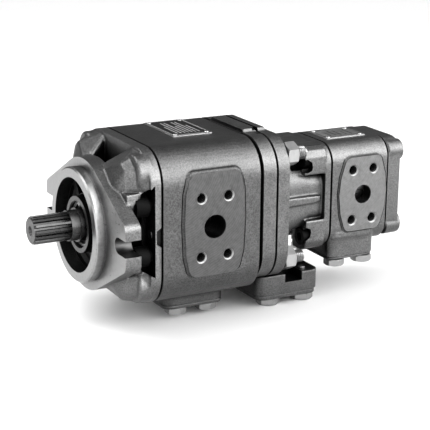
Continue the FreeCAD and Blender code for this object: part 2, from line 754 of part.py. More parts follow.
def make_end_cover():
    """The cap on the rear pump, with the threads for the tie bolts in its four lugs."""
    body = new_body("rear_end_cover")
    slab(body, "cap_slab", "rear_housing_end", "end_cover_end - rear_housing_end",
         "rear_half - cap_inset", REAR_BOTTOM + " + 4", REAR_TOP + " - cap_inset",
         "rear_corner - 1")
    for number, (side, rise) in enumerate(CORNERS, start=1):
        lug = sketch_on(body, "YZ_Plane", "end_cover_end - 1", "cap_lug%d" % number)
        draw_circle(lug, "cap_lug_radius", "%d * tie_across" % side,
                    "rear_middle + %d * (tie_up - 1)" % rise)
        pad(body, lug, "end_lug + 1")
    spigot(body, "cap_spigot", "rear_gear_end + face_gap + rear_disc", "rear_housing_end - 3.6",
           "rear_housing_end", "rear_ring_radius", "rear_offset")
    bore(body, "cap_bush_bore", "rear_housing_end - 10", "21.3", "rear_bush_radius")
    bores(body, "cap_ties", "rear_housing_end - 1", "end_cover_end + 1 - rear_housing_end",
          "tie_radius + 0.05", TIE_BOLTS)


# ---------------------------------------------------------------- suction side

def suction_cover(label, x, half, wide, base, corner, thickness):
    """A flat blanking plate under a suction pad, with its four bolt holes."""
    body = new_body(label)
    sketch = sketch_on(body, "XY_Plane", "(%s) - gasket_thickness - (%s)" % (base, thickness),
                       label + "_outline")
    draw_rounded(sketch, x, half, wide, corner)
    pad(body, sketch, thickness)
    return body


def sheet_gasket(label, x, half, wide, base, hole, along, across, bolt):
    """The flat gasket between a suction pad and its cover."""
    body = new_body(label)
    sketch = sketch_on(body, "XY_Plane", "(%s) - gasket_thickness" % base, label + "_outline")
    draw_rounded(sketch, x, half, wide, "8")
    draw_circle(sketch, hole, x, "0")
    for side, rise in CORNERS:
        draw_circle(sketch, bolt, "(%s) + %d * (%s) / 2" % (x, side, along),
                    "%d * (%s) / 2" % (rise, across))
    pad(body, sketch, "gasket_thickness")


def drill_cover(body, x, along, across, base, radius):
    sketch = sketch_on(body, "XY_Plane", "(%s) - 12" % base, body.Name + "_holes")
    for side, rise in CORNERS:
        draw_circle(sketch, radius, "(%s) + %d * (%s) / 2" % (x, side, along),
                    "%d * (%s) / 2" % (rise, across))
    pocket(body, sketch, "14")


def suction_bolts(label, x, along, across, face, reach, radius, head_radius, head):
    """Four hexagon bolts that hold a suction cover, heads down."""
    bolts = []
    for number, (side, rise) in enumerate(CORNERS, start=1):
        name = "%s_%d" % (label, number)
        at = {"x": "(%s) + %d * (%s) / 2" % (x, side, along),
              "y": "%d * (%s) / 2" % (rise, across)}
        crown = hexagon(name + "_head", head_radius, head, z="(%s) - (%s)" % (face, head),
                        axis="z", **at)
        shank = cylinder(name + "_shank", radius, reach, z=face, axis="z", **at)
        bolts.append(fuse(name, [crown, shank]))
    group(label, bolts)


def make_suction_block():
    """The block under the end plates that joins the two pumps' suction sides."""
    body = new_body("suction_block")
    sketch = sketch_on(body, "XY_Plane", "block_base", "block_outline")
    draw_rounded(sketch, "(block_start + block_end) / 2", "(block_end - block_start) / 2",
                 "block_wide", "9")
    pad(body, sketch, "foot_cut - block_base")
    for number, side in enumerate(SIDES, start=1):
        relief = sketch_on(body, "XY_Plane", "foot_cut - relief_depth",
                           "block_relief%d" % number)
        draw_rectangle(relief, "relief_start", "relief_end",
                       "%d * (block_wide - relief_wide)" % side, "%d * (block_wide + 1)" % side)
        pocket(body, relief, "relief_depth + 1")
    inlet(body, "block_inlet", "block_bolt_x", "block_inlet_radius", "block_base", "14")
    bolt_sockets(body, "block_threads", "block_bolt_x", "block_bolt_along", "block_bolt_across",
                 "block_base", "bolt_thread_radius")


def make_suction_parts():
    for stage, base_thickness in (("front", "blank_thickness"), ("rear", "blank_thickness - 1")):
        x, half = stage + "_foot_x", stage + "_foot_half - 1"
        wide, base = stage + "_foot_wide - 1", stage + "_foot_base"
        plate = suction_cover(stage + "_suction_cover", x, half, wide, base, "9", base_thickness)
        drill_cover(plate, x, "inlet_along", "inlet_across", base, "foot_bolt_hole_radius")
        sheet_gasket(stage + "_suction_gasket", x, stage + "_foot_half - 2",
                     stage + "_foot_wide - 2", base, stage + "_inlet_radius + 1",
                     "inlet_along", "inlet_across", "foot_bolt_hole_radius")
        suction_bolts(stage + "_suction_bolts", x, "inlet_along", "inlet_across",
                      "%s - gasket_thickness - (%s)" % (base, base_thickness), "16",
                      "foot_bolt_radius", "9.8", "6.4")
    make_suction_block()
    middle = "(block_start + block_end) / 2"
    half = "(block_end - block_start) / 2 - 1"
    plate = suction_cover("block_cover", middle, half, "block_wide - 1", "block_base", "9",
                          "blank_thickness + 1")
    drill_cover(plate, "block_bolt_x", "block_bolt_along", "block_bolt_across", "block_base",
                "bolt_hole_radius")
    sheet_gasket("block_gasket", "block_bolt_x", "26", "block_wide - 2", "block_base",
                 "block_inlet_radius + 1", "block_bolt_along", "block_bolt_across",
                 "bolt_hole_radius")
    suction_bolts("block_bolts", "block_bolt_x", "block_bolt_along", "block_bolt_across",
                  "block_base - gasket_thickness - blank_thickness - 1", "18", "bolt_radius",
                  "10.9", "7.5")
    keep(cylinder("block_plug", "plug_radius", "1.4", "plug_x", "plug_y", "foot_cut", "z"),
         "block_plug")


# ---------------------------------------------------------------- gears, shafts and filler pieces

def involute(angle):
    return math.tan(angle) - angle


def tooth_edge(module, teeth, gap, root, tip):
    """Points of one tooth flank as (radius, half angle), from root to tip."""
    pressure = math.radians(size("pressure_angle"))
    pitch = module * teeth / 2
    base = pitch * math.cos(pressure)
    half = math.pi / (2 * teeth) + gap / (2 * pitch)
    points = []
    steps = 6
    for step in range(steps + 1):
        radius = max(base, root) + (tip - max(base, root)) * step / steps
        angle = math.acos(min(1.0, base / radius))
        points.append((radius, half + involute(pressure) - involute(angle)))
    if root < base:
        points.insert(0, (root, points[0][1]))
    return points


def toothed_wire(edge, teeth, start, height):
    """A closed outline in a plane across X, with one tooth pointing down (-Z)."""
    points = []
    for tooth in range(teeth):
        middle = 2 * math.pi * tooth / teeth - math.pi / 2
        flank = [(radius, middle - half) for radius, half in edge]
        flank += [(radius, middle + half) for radius, half in reversed(edge)]
        points += [Vector(start, radius * math.cos(turn), height + radius * math.sin(turn))
                   for radius, turn in flank]
    return Part.makePolygon(points + points[:1])


def toothed_bar(edge, teeth, start, end, height=0.0):
    face = Part.Face(toothed_wire(edge, teeth, start, height))
    return face.extrude(Vector(end - start, 0, 0))


def round_bar(radius, start, end, y=0.0, z=0.0):
    return Part.makeCylinder(radius, end - start, Vector(start, y, z), Vector(1, 0, 0))


def spline_edge(radius, gap=0.0):
    """Half of one spline tooth: straight flanks from the root to the outside."""
    root = radius * 0.873
    return [(root + gap, math.radians(7.6) + gap / root),
            (radius + gap, math.radians(4.4) + gap / radius)]


def chamfered(shape, radius, start, end, depth):
    """Trim the ends of a bar with cones, so that its teeth run out at a chamfer."""
    profile = [Vector(start, 0, 0), Vector(start, 0, radius - depth),
               Vector(start + depth, 0, radius), Vector(end - depth, 0, radius),
               Vector(end, 0, radius - depth), Vector(end, 0, 0)]
    face = Part.Face(Part.makePolygon(profile + profile[:1]))
    return shape.common(face.revolve(Vector(), Vector(1, 0, 0), 360))


def pinion(stage, start, end):
    module = size(stage + "_module")
    teeth = int(size("pinion_teeth"))
    pitch = module * teeth / 2
    edge = tooth_edge(module, teeth, -size("backlash"), pitch - 1.15 * module,
                      pitch + 0.9 * module)
    return toothed_bar(edge, teeth, start, end)


def add_feature(label, shape):
    item = doc.addObject("Part::Feature", label)
    item.Shape = shape
    item.Placement = Placement()
    return keep(item, label)


def make_drive_shaft():
    """Splined stub, seal land, two journals, the front pinion and the splined rear end."""
    tip, spline_end = size("shaft_tip"), size("spline_end")
    start, end = size("front_gear_start"), size("front_gear_end")
    rear_end = size("end_plate_end") - 3
    spline = size("spline_radius")
    stub = chamfered(toothed_bar(spline_edge(spline), SPLINE_TEETH, tip, spline_end),
                     spline + 0.01, tip, spline_end + 2, 1.6)
    tail = chamfered(toothed_bar(spline_edge(spline), SPLINE_TEETH, rear_end, rear_end + 18),
                     spline + 0.01, rear_end - 2, rear_end + 18, 1.5)
    land = size("journal_start")
    shaft = stub.multiFuse([
        round_bar(size("collar_radius"), spline_end, -8),
        round_bar(size("seal_land_radius"), -8, land),
        round_bar(size("journal_radius"), land, start),
        pinion("front", start, end),
        round_bar(size("journal_radius"), end, rear_end),
        tail])
    shaft = shaft.cut(round_bar(2.5, tip - 1, tip + 16))
    countersink = Part.makeCone(4.4, 2.5, 2.6, Vector(tip, 0, 0), Vector(1, 0, 0))
    add_feature("drive_shaft", shaft.cut(countersink).removeSplitter())


def make_rear_shaft():
    start, end = size("rear_gear_start"), size("rear_gear_end")
    spline = size("rear_spline_radius")
    tip, spline_end = size("rear_shaft_tip"), size("rear_shaft_spline_end")
    tail = chamfered(toothed_bar(spline_edge(spline), SPLINE_TEETH, tip, spline_end),
                     spline + 0.01, tip, spline_end + 2, 1.2)
    shaft = tail.multiFuse([
        round_bar(size("rear_journal_radius"), spline_end, start),
        pinion("rear", start, end),
        round_bar(size("rear_journal_radius"), end, size("rear_housing_end") + 10)])
    add_feature("rear_pinion_shaft", shaft.removeSplitter())


def make_coupling():
    """The splined sleeve that joins the two shafts inside the rear cover's neck."""
    gap = 0.08
    start, end = size("sleeve_start"), size("sleeve_end")
    front_end, rear_start = size("front_mesh_end"), size("rear_mesh_start")
    sleeve = round_bar(size("sleeve_radius"), start, end)
    front = toothed_bar(spline_edge(size("spline_radius"), gap), SPLINE_TEETH, start - 1,
                        front_end)
    rear = toothed_bar(spline_edge(size("rear_spline_radius"), gap), SPLINE_TEETH, rear_start,
                       end + 1)
    waist = round_bar(9, front_end - 1, rear_start + 1)
    add_feature("coupling_sleeve", sleeve.cut(front.multiFuse([rear, waist])))


def make_ring_gear(stage):
    """An internally toothed ring with a radial oil hole behind every second tooth space."""
    module, offset = size(stage + "_module"), size(stage + "_offset")
    teeth = int(size("ring_teeth"))
    start, end = size(stage + "_gear_start"), size(stage + "_gear_end")
    outer = size(stage + "_ring_radius")
    pitch = module * teeth / 2
    edge = tooth_edge(module, teeth, size("backlash"), pitch - 0.7 * module,
                      pitch + 1.05 * module)
    blank = round_bar(outer, start, end, z=offset)
    space = toothed_bar(edge, teeth, start - 1, end + 1, offset)
    gear = blank.cut(space)
    middle = (start + end) / 2
    for number in range(0, teeth - 1, 2):
        turn = 2 * math.pi * number / teeth - math.pi / 2
        outward = Vector(0, math.cos(turn), math.sin(turn))
        gear = gear.cut(Part.makeCylinder(module * 0.7, outer, Vector(middle, 0, offset)
                                          + outward * pitch, outward))
    add_feature(stage + "_ring_gear", gear)


def make_fillers(stage):
    """The crescent between the gears, in an inner and an outer piece, with its stop pin."""
    module, offset = size(stage + "_module"), size(stage + "_offset")
    start, end = size(stage + "_gear_start"), size(stage + "_gear_end")
    pinion_tip = module * size("pinion_teeth") / 2 + 0.9 * module
    ring_tip = module * size("ring_teeth") / 2 - 0.7 * module
    free = size("free_gap")
    outside = round_bar(ring_tip - free, start, end, z=offset)
    inside = round_bar(pinion_tip + free, start - 1, end + 1)
    reach = ring_tip + offset
    upper = Part.makeBox(end - start, 2 * reach, 2 * reach,
                         Vector(start, -reach, offset * 0.76))
    crescent = outside.cut(inside).common(upper)
    divide = round_bar((pinion_tip + ring_tip) / 2 - offset * 0.07, start - 1, end + 1,
                       z=offset / 2)
    pin_radius = module * 0.7
    pin_height = offset + ring_tip - 1.25 * module
    pin_hole = round_bar(pin_radius, start - 1, end + 1, z=pin_height)
    add_feature(stage + "_filler_carrier", crescent.common(divide).cut(pin_hole))
    add_feature(stage + "_filler_segment", crescent.cut(divide).cut(pin_hole))
    add_feature(stage + "_stop_pin", round_bar(pin_radius, start - 4, end + 4, z=pin_height))
    return pin_radius, pin_height


def make_axial_discs(stage, pin_radius, pin_height):
    """The two plates that seal the sides of the gears."""
    journal = "journal_radius" if stage == "front" else "rear_journal_radius"
    offset, outer = size(stage + "_offset"), size(stage + "_ring_radius")
    gap, thickness = size("face_gap"), size(stage + "_disc")
    starts = {"inner": size(stage + "_gear_start") - gap - thickness,
              "outer": size(stage + "_gear_end") + gap}
    pin = round_bar(pin_radius, size(stage + "_gear_start") - 4, size(stage + "_gear_end") + 4,
                    z=pin_height)
    for place_name, start in starts.items():
        disc = round_bar(outer, start, start + thickness, z=offset)
        hole = round_bar(size(journal) + size("free_gap"), start - 1, start + thickness + 1)
        add_feature("%s_%s_axial_disc" % (stage, place_name), disc.cut(hole).cut(pin))


# ---------------------------------------------------------------- bearings and seals

def make_bearings_and_seals():
    fit = "journal_radius + running_gap"
    rear_fit = "rear_journal_radius + running_gap"
    nose = "front_gear_start - face_gap - front_disc"
    ring("front_bush", "bush_radius", fit, "journal_start + 1",
         nose + " - journal_start - 1")
    tail = "front_gear_end + face_gap + front_disc"
    ring("middle_bush", "bush_radius", fit, tail, "middle_bush_end - (%s)" % tail)
    ring("rear_bush", "rear_bush_radius", rear_fit, "rear_bush_start",
         "rear_gear_start - face_gap - rear_disc - rear_bush_start")
    cap = "rear_gear_end + face_gap + rear_disc"
    ring("end_bush", "rear_bush_radius", rear_fit, cap, "end_bush_end - (%s)" % cap)
    ring("shaft_seal", "seal_bore_radius", "seal_land_radius + running_gap", "seal_start",
         "seal_length")
    ring("coupling_seal", "coupling_seal_radius", rear_fit, "coupling_seal_start",
         "coupling_seal_length")
    make_seal_clip()
    o_ring("front_cover_o_ring", "cover_end + 3.5", "front_ring_radius", "front_offset")
    o_ring("end_plate_o_ring", "housing_end - 3", "front_ring_radius", "front_offset")
    o_ring("rear_cover_o_ring", "rear_cover_end + 3.5", "rear_ring_radius", "rear_offset")
    o_ring("end_cover_o_ring", "rear_housing_end - 2.1", "rear_ring_radius", "rear_offset")


def make_seal_clip():
    """The open spring ring in front of the shaft seal, with a lug at each end."""
    outside = cylinder("seal_clip_outside", "seal_bore_radius + 0.8", "clip_thickness",
                       "clip_start")
    inside = cylinder("seal_clip_inside", "seal_bore_radius - 2.4", "clip_thickness + 2",
                      "clip_start - 1")
    opening = box("seal_clip_opening", ("clip_start - 1", "-3", "10"),
                  ("clip_start + clip_thickness + 1", "3", "24"))
    lugs = [cylinder("seal_clip_lug%d" % number, "clip_lug_radius", "clip_thickness",
                     "clip_start", "%d * 4.6" % side, "17.2")
            for number, side in enumerate(SIDES, start=1)]
    band = cut("seal_clip_band", cut("seal_clip_ring", outside, inside), opening)
    keep(fuse("seal_clip", [band] + lugs), "seal_clip")


def o_ring(label, x, radius, z):
    """A ring of round section that sits at the bottom of a spigot's groove."""
    item = doc.addObject("Part::Torus", label)
    bind(item, Radius1="(%s) - o_ring_radius - 0.03" % radius, Radius2="o_ring_radius")
    keep(place(item, x, z=z, axis="x"), label)


# ---------------------------------------------------------------- fasteners and plates

def socket_bolts(label, places, head_start, head, head_radius, radius, end, key):
    """Cylinder-head bolts along X with a hexagon socket in each head."""
    bolts = []
    for number, (across, up) in enumerate(places, start=1):
        name = "%s_%d" % (label, number)
        crown = cylinder(name + "_head", head_radius, head, head_start, across, up)
        start = "(%s) + (%s)" % (head_start, head)
        shank = cylinder(name + "_shank", radius, "(%s) - (%s)" % (end, start), start, across, up)
        socket = hexagon(name + "_socket", key, "(%s) / 2 + 1" % head, "(%s) - 1" % head_start,
                         across, up)
        bolts.append(cut(name, fuse(name + "_body", [crown, shank]), socket))
    group(label, bolts)


def make_studs():
    studs = []
    nuts = []
    for number, (across, up) in enumerate(STUDS, start=1):
        studs.append(cylinder("stud_%d" % number, "bolt_radius",
                              "stud_end - housing_end + stud_grip", "housing_end - stud_grip",
                              across, up))
        body = hexagon("nut_%d_body" % number, "nut_corner", "nut_height", "rear_flange_end",
                       across, up)
        hole = cylinder("nut_%d_hole" % number, "bolt_thread_radius", "nut_height + 2",
                        "rear_flange_end - 1", across, up)
        nuts.append(cut("nut_%d" % number, body, hole))
    group("flange_studs", studs)
    group("stud_nuts", nuts)


def dowels(label, places, start, length, radius):
    pins = [cylinder("%s_%d" % (label, number), radius, length, start, across, up)
            for number, (across, up) in enumerate(places, start=1)]
    group(label, pins)


def nameplate(label, x, y, z, rivet_z):
    """A thin blank plate on top of a casing with a rivet at each corner."""
    keep(box(label, (x[0], y[0], z), (x[1], y[1], "(%s) + 0.8" % z)), label)
    rivets = []
    for number, (across, up) in enumerate(CORNERS, start=1):
        at_x = "(%s) + 4" % x[0] if across < 0 else "(%s) - 4" % x[1]
        at_y = "(%s) + 4" % y[0] if up < 0 else "(%s) - 4" % y[1]
        rivets.append(cylinder("%s_rivet_%d" % (label, number), "2.1", "0.9", at_x, at_y,
                               rivet_z, "z"))
    group(label + "_rivets", rivets)


def make_fasteners():
    socket_bolts("cover_bolts", COVER_BOLTS, "cover_plate_start - 11.5", "12", "9",
                 "bolt_radius", "72", "5.7")
    socket_bolts("tie_bolts", TIE_BOLTS, "rear_plate_start - 19", "10", "8", "tie_radius",
                 "end_cover_end - 1", "4.6")
    make_studs()
    for label, joint in (("front_dowels", "cover_end"), ("middle_dowels", "housing_end")):
        dowels(label, FRONT_DOWELS, joint + " - dowel_depth + 0.2", "2 * dowel_depth - 0.4",
               "dowel_radius")
    dowels("rear_dowels", REAR_DOWELS, "rear_cover_end - rear_dowel_depth + 0.2",
           "2 * rear_dowel_depth - 0.4", "rear_dowel_radius")
    nameplate("front_nameplate", ("77", "116"), ("-19", "42"), FRONT_TOP, FRONT_TOP + " + 0.8")
    nameplate("rear_nameplate", ("238", "281"), ("-15", "19"), REAR_TOP, REAR_TOP + " + 0.8")


# ---------------------------------------------------------------- build, check and write

def check_document():
    """Stop on a failed object, an empty shape or a cut that removed nothing."""
    for item in doc.Objects:
        if "Invalid" in item.State or "Error" in item.State:
            raise RuntimeError("failed: %s %s" % (item.Name, item.State))
        if item.TypeId == "PartDesign::Pocket":
            if item.Shape.Volume > item.BaseFeature.Shape.Volume - 1e-3:
                raise RuntimeError("cuts nothing: " + item.Name)
    for item in SUBPARTS:
        if item.Shape.isNull() or not item.Shape.isValid():
            raise RuntimeError("bad shape: " + item.Label)


def main():
    make_front_cover()
    make_front_housing()
    make_end_plate()
    make_rear_cover()
    make_rear_housing()
    make_end_cover()
    make_suction_parts()
    make_drive_shaft()
    make_rear_shaft()
    make_coupling()
    for stage in ("front", "rear"):
        make_ring_gear(stage)
        make_axial_discs(stage, *make_fillers(stage))
    make_bearings_and_seals()
    make_fasteners()
    doc.recompute()
    check_document()
    os.makedirs("parts", exist_ok=True)
    for item in SUBPARTS:
        item.Shape.exportStep("parts/%s.step" % item.Label)
        print("%-24s %2d solids %10.1f mm3" % (item.Label, len(item.Shape.Solids),
                                               item.Shape.Volume))


main()
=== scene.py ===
import json
import math

import bmesh
import bpy
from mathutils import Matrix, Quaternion, Vector


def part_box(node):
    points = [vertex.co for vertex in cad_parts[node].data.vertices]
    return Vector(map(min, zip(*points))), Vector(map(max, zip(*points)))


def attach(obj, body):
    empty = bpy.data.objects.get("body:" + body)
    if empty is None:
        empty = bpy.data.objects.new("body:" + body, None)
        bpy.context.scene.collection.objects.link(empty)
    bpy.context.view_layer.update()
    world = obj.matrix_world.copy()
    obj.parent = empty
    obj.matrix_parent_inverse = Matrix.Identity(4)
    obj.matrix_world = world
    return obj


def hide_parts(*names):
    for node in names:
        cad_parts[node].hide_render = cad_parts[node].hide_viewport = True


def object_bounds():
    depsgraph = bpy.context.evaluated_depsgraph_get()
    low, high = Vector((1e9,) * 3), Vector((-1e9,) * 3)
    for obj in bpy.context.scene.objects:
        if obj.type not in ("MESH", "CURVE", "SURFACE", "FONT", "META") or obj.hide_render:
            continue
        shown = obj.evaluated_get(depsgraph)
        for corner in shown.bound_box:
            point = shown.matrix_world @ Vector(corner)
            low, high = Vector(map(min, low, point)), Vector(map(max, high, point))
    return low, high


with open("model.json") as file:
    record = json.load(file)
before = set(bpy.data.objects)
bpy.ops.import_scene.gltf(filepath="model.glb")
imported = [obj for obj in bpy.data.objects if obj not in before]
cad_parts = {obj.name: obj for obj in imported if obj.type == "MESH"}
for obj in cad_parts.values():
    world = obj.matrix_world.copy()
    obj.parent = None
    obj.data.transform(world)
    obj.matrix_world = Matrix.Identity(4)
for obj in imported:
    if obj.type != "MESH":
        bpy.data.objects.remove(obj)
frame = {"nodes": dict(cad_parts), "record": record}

# Looks of a tandem internal gear pump. Lengths are in millimetres until a mesh is made.
# The shaft axis is X, the pressure ports face -Y, and the mounting flange's face is at X = 0.

CAD_LOW, CAD_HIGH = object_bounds()
MM = 0.001
SIDES = (-1, 1)
CORNERS = [(side, rise) for side in SIDES for rise in SIDES]
SKIN_CELL = 0.8  # size of the cells a casting's skin is built from
SHARP_ANGLE = math.radians(32)
THREAD_DEPTH = 0.6  # of the pitch


def span(node):
    """Lowest and highest corner of a CAD node in millimetres."""
    low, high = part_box(node)
    return low / MM, high / MM


def mount(name):
    """A mount's position in millimetres and its sizes, from the record."""
    found = next(item for item in frame["record"]["mounts"] if item["name"] == name)
    return Vector(found["pos_m"]) / MM, found["dims"]


# ---- outlines

def circle(radius, across=0.0, up=0.0, steps=96):
    """Points round a circle."""
    turns = [2 * math.pi * step / steps for step in range(steps)]
    return [(across + radius * math.cos(turn), up + radius * math.sin(turn)) for turn in turns]


def rounded(corners, radius, steps=8):
    """An outline whose corners are turned into arcs of one radius."""
    points = []
    for index, corner in enumerate(corners):
        here = Vector(corner)
        back = (Vector(corners[index - 1]) - here).normalized()
        ahead = (Vector(corners[(index + 1) % len(corners)]) - here).normalized()
        half = back.angle(ahead) / 2
        centre = here + (back + ahead).normalized() * radius / math.sin(half)
        reach = radius / math.tan(half)
        start = here + back * reach - centre
        finish = here + ahead * reach - centre
        points += [tuple(centre + start.slerp(finish, step / steps) * radius)
                   for step in range(steps + 1)]
    return points


def rectangle(low, high):
    """The four corners of a rectangle."""
    return [(low[0], low[1]), (high[0], low[1]), (high[0], high[1]), (low[0], high[1])]


def plate_outline(half, bottom, top, radius, grow=0.0):
    """The outline of a casing across the shaft axis."""
    corners = rectangle((-half - grow, bottom - grow), (half + grow, top + grow))
    return rounded(corners, radius + grow, 12)


# ---- closed solids

def at(axis, station, across, up):
    """A point along an axis and across it, as X, Y, Z."""
    return {"x": (station, across, up), "y": (across, station, up), "z": (across, up, station)}[axis]


def stacked(rows, closed=False):
    """A solid through rings of equally many points."""
    count = len(rows[0])
    points = [point for row in rows for point in row]
    faces = []
    for row in range(len(rows) if closed else len(rows) - 1):
        here, there = row * count, (row + 1) % len(rows) * count
        for step in range(count):
            following = (step + 1) % count
            faces.append((here + step, here + following, there + following, there + step))
    if not closed:
        faces.append(tuple(range(count)))
        faces.append(tuple(range((len(rows) - 1) * count, len(rows) * count)))
    return points, faces


def loft(sections, axis="x", closed=False):
    """A solid through outlines across an axis; a section is (station, outline)."""
    return stacked([[at(axis, station, across, up) for across, up in outline]
                    for station, outline in sections], closed)


def turned(profile, across=0.0, up=0.0, axis="x", steps=96, closed=False):
    """A solid of revolution; the profile holds (station, radius)."""
    sections = [(station, circle(radius, across, up, steps)) for station, radius in profile]
    return loft(sections, axis, closed)


def block(low, high):
    """A plain box between two corners."""
    outline = rectangle(low[:2], high[:2])
    return loft([(low[2], outline), (high[2], outline)], "z")


def hull(points):
    """The convex solid round some points."""
    mesh = bmesh.new()
    for point in points:
        mesh.verts.new(point)
    made = bmesh.ops.convex_hull(mesh, input=mesh.verts)
    loose = {item for item in made["geom_interior"] + made["geom_unused"]
             if isinstance(item, bmesh.types.BMVert)}
    bmesh.ops.delete(mesh, geom=list(loose), context="VERTS")
    mesh.verts.index_update()
    solid = ([tuple(vertex.co) for vertex in mesh.verts],
             [tuple(vertex.index for vertex in face.verts) for face in mesh.faces])
    mesh.free()
    return solid


def threaded(across, up, start, end, radius, pitch, axis="x", steps=24, per_turn=8):
    """A rod with a helical thread cut into it."""
    depth = THREAD_DEPTH * pitch
    count = max(2, round((end - start) / pitch * per_turn))
    rows = []
    for row in range(count + 1):
        station = start + (end - start) * row / count
        ring = []
        for step in range(steps):
            turn = 2 * math.pi * step / steps
            phase = ((station - start) / pitch - step / steps) % 1.0
            here = radius - depth * abs(2 * phase - 1)
            ring.append(at(axis, station, across + here * math.cos(turn),
                           up + here * math.sin(turn)))
        rows.append(ring)
    return stacked(rows)


def hexagon(across, up, start, end, corner, axis="x", bore=0.0, both=True, per_side=8):
    """A hexagon head or nut between two stations, with turned-down corners at its end."""
    flat = corner * math.cos(math.pi / 6)
    way = math.copysign(1.0, end - start)
    slope = math.tan(math.radians(30))
    turns = [2 * math.pi * step / (6 * per_side) for step in range(6 * per_side)]
    reach = [flat / math.cos((turn + math.pi / 6) % (math.pi / 3) - math.pi / 6) for turn in turns]

    def ring(station, radii, drop=0.0):
        return [at(axis, station - drop * max(0.0, radius - flat) * slope * way,
                   across + radius * math.cos(turn), up + radius * math.sin(turn))
                for radius, turn in zip(radii, turns)]

    lead = 0.8
    face = [flat * 0.96] * len(turns)
    rows = [ring(start, reach)]
    if both:
        rows = [ring(start, face), ring(start, reach, -1.0)]
    rows += [ring(end, reach, 1.0), ring(end, face)]
    if bore:
        hole = [bore] * len(turns)
        mouth = [bore + lead] * len(turns)
        rows += [ring(end, mouth), ring(end - way * lead, hole), ring(start, hole)]
    return stacked(rows, closed=bool(bore))


def make(name, solids, metal=None):
    """One object of several closed solids, in one of the METALS."""
    points, faces = [], []
    for solid_points, solid_faces in solids:
        start = len(points)
        points += [Vector(point) * MM for point in solid_points]
        faces += [tuple(start + index for index in face) for face in solid_faces]
    mesh = bpy.data.meshes.new(name)
    mesh.from_pydata(points, [], faces)
    shell = bmesh.new()
    shell.from_mesh(mesh)
    bmesh.ops.recalc_face_normals(shell, faces=shell.faces)
    shell.to_mesh(mesh)
    shell.free()
    if metal:
        mesh.materials.append(METALS[metal])
    piece = bpy.data.objects.new(name, mesh)
    bpy.context.scene.collection.objects.link(piece)
    return piece


def apply(piece, kind, **settings):
    """Add one modifier and put its result into the mesh."""
    modifier = piece.modifiers.new(kind, kind)
    for key, value in settings.items():
        setattr(modifier, key, value)
    before = piece.data
    graph = bpy.context.evaluated_depsgraph_get()
    piece.data = bpy.data.meshes.new_from_object(piece.evaluated_get(graph))
    piece.modifiers.clear()
    bpy.data.meshes.remove(before)


def cast(name, solids, metal, passes, share):
    """Melt overlapping solids into one skin with rounded edges, as a sand casting has."""
    piece = make(name, solids)
    apply(piece, "REMESH", mode="VOXEL", voxel_size=SKIN_CELL * MM)
    apply(piece, "SMOOTH", factor=0.5, iterations=passes)
    apply(piece, "DECIMATE", ratio=share)
    piece.data.materials.clear()
    piece.data.materials.append(METALS[metal])
    return piece


def machine(piece, solids, metal):
    """Cut solids out of a casting; the cut faces get the given metal."""
    for solid in solids:
        tool = make("tool", [solid], metal)
        apply(piece, "BOOLEAN", operation="DIFFERENCE", object=tool, solver="MANIFOLD",
              material_mode="TRANSFER")
        bpy.data.objects.remove(tool)


def finish(piece, slot, *nodes):
    """Shade a piece, put it on the housing and let it stand for CAD nodes."""
    piece.data.shade_smooth()
    piece.data.set_sharp_from_angle(angle=SHARP_ANGLE)
    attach(piece, "housing")
    if nodes:
        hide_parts(*nodes)


# ---- materials

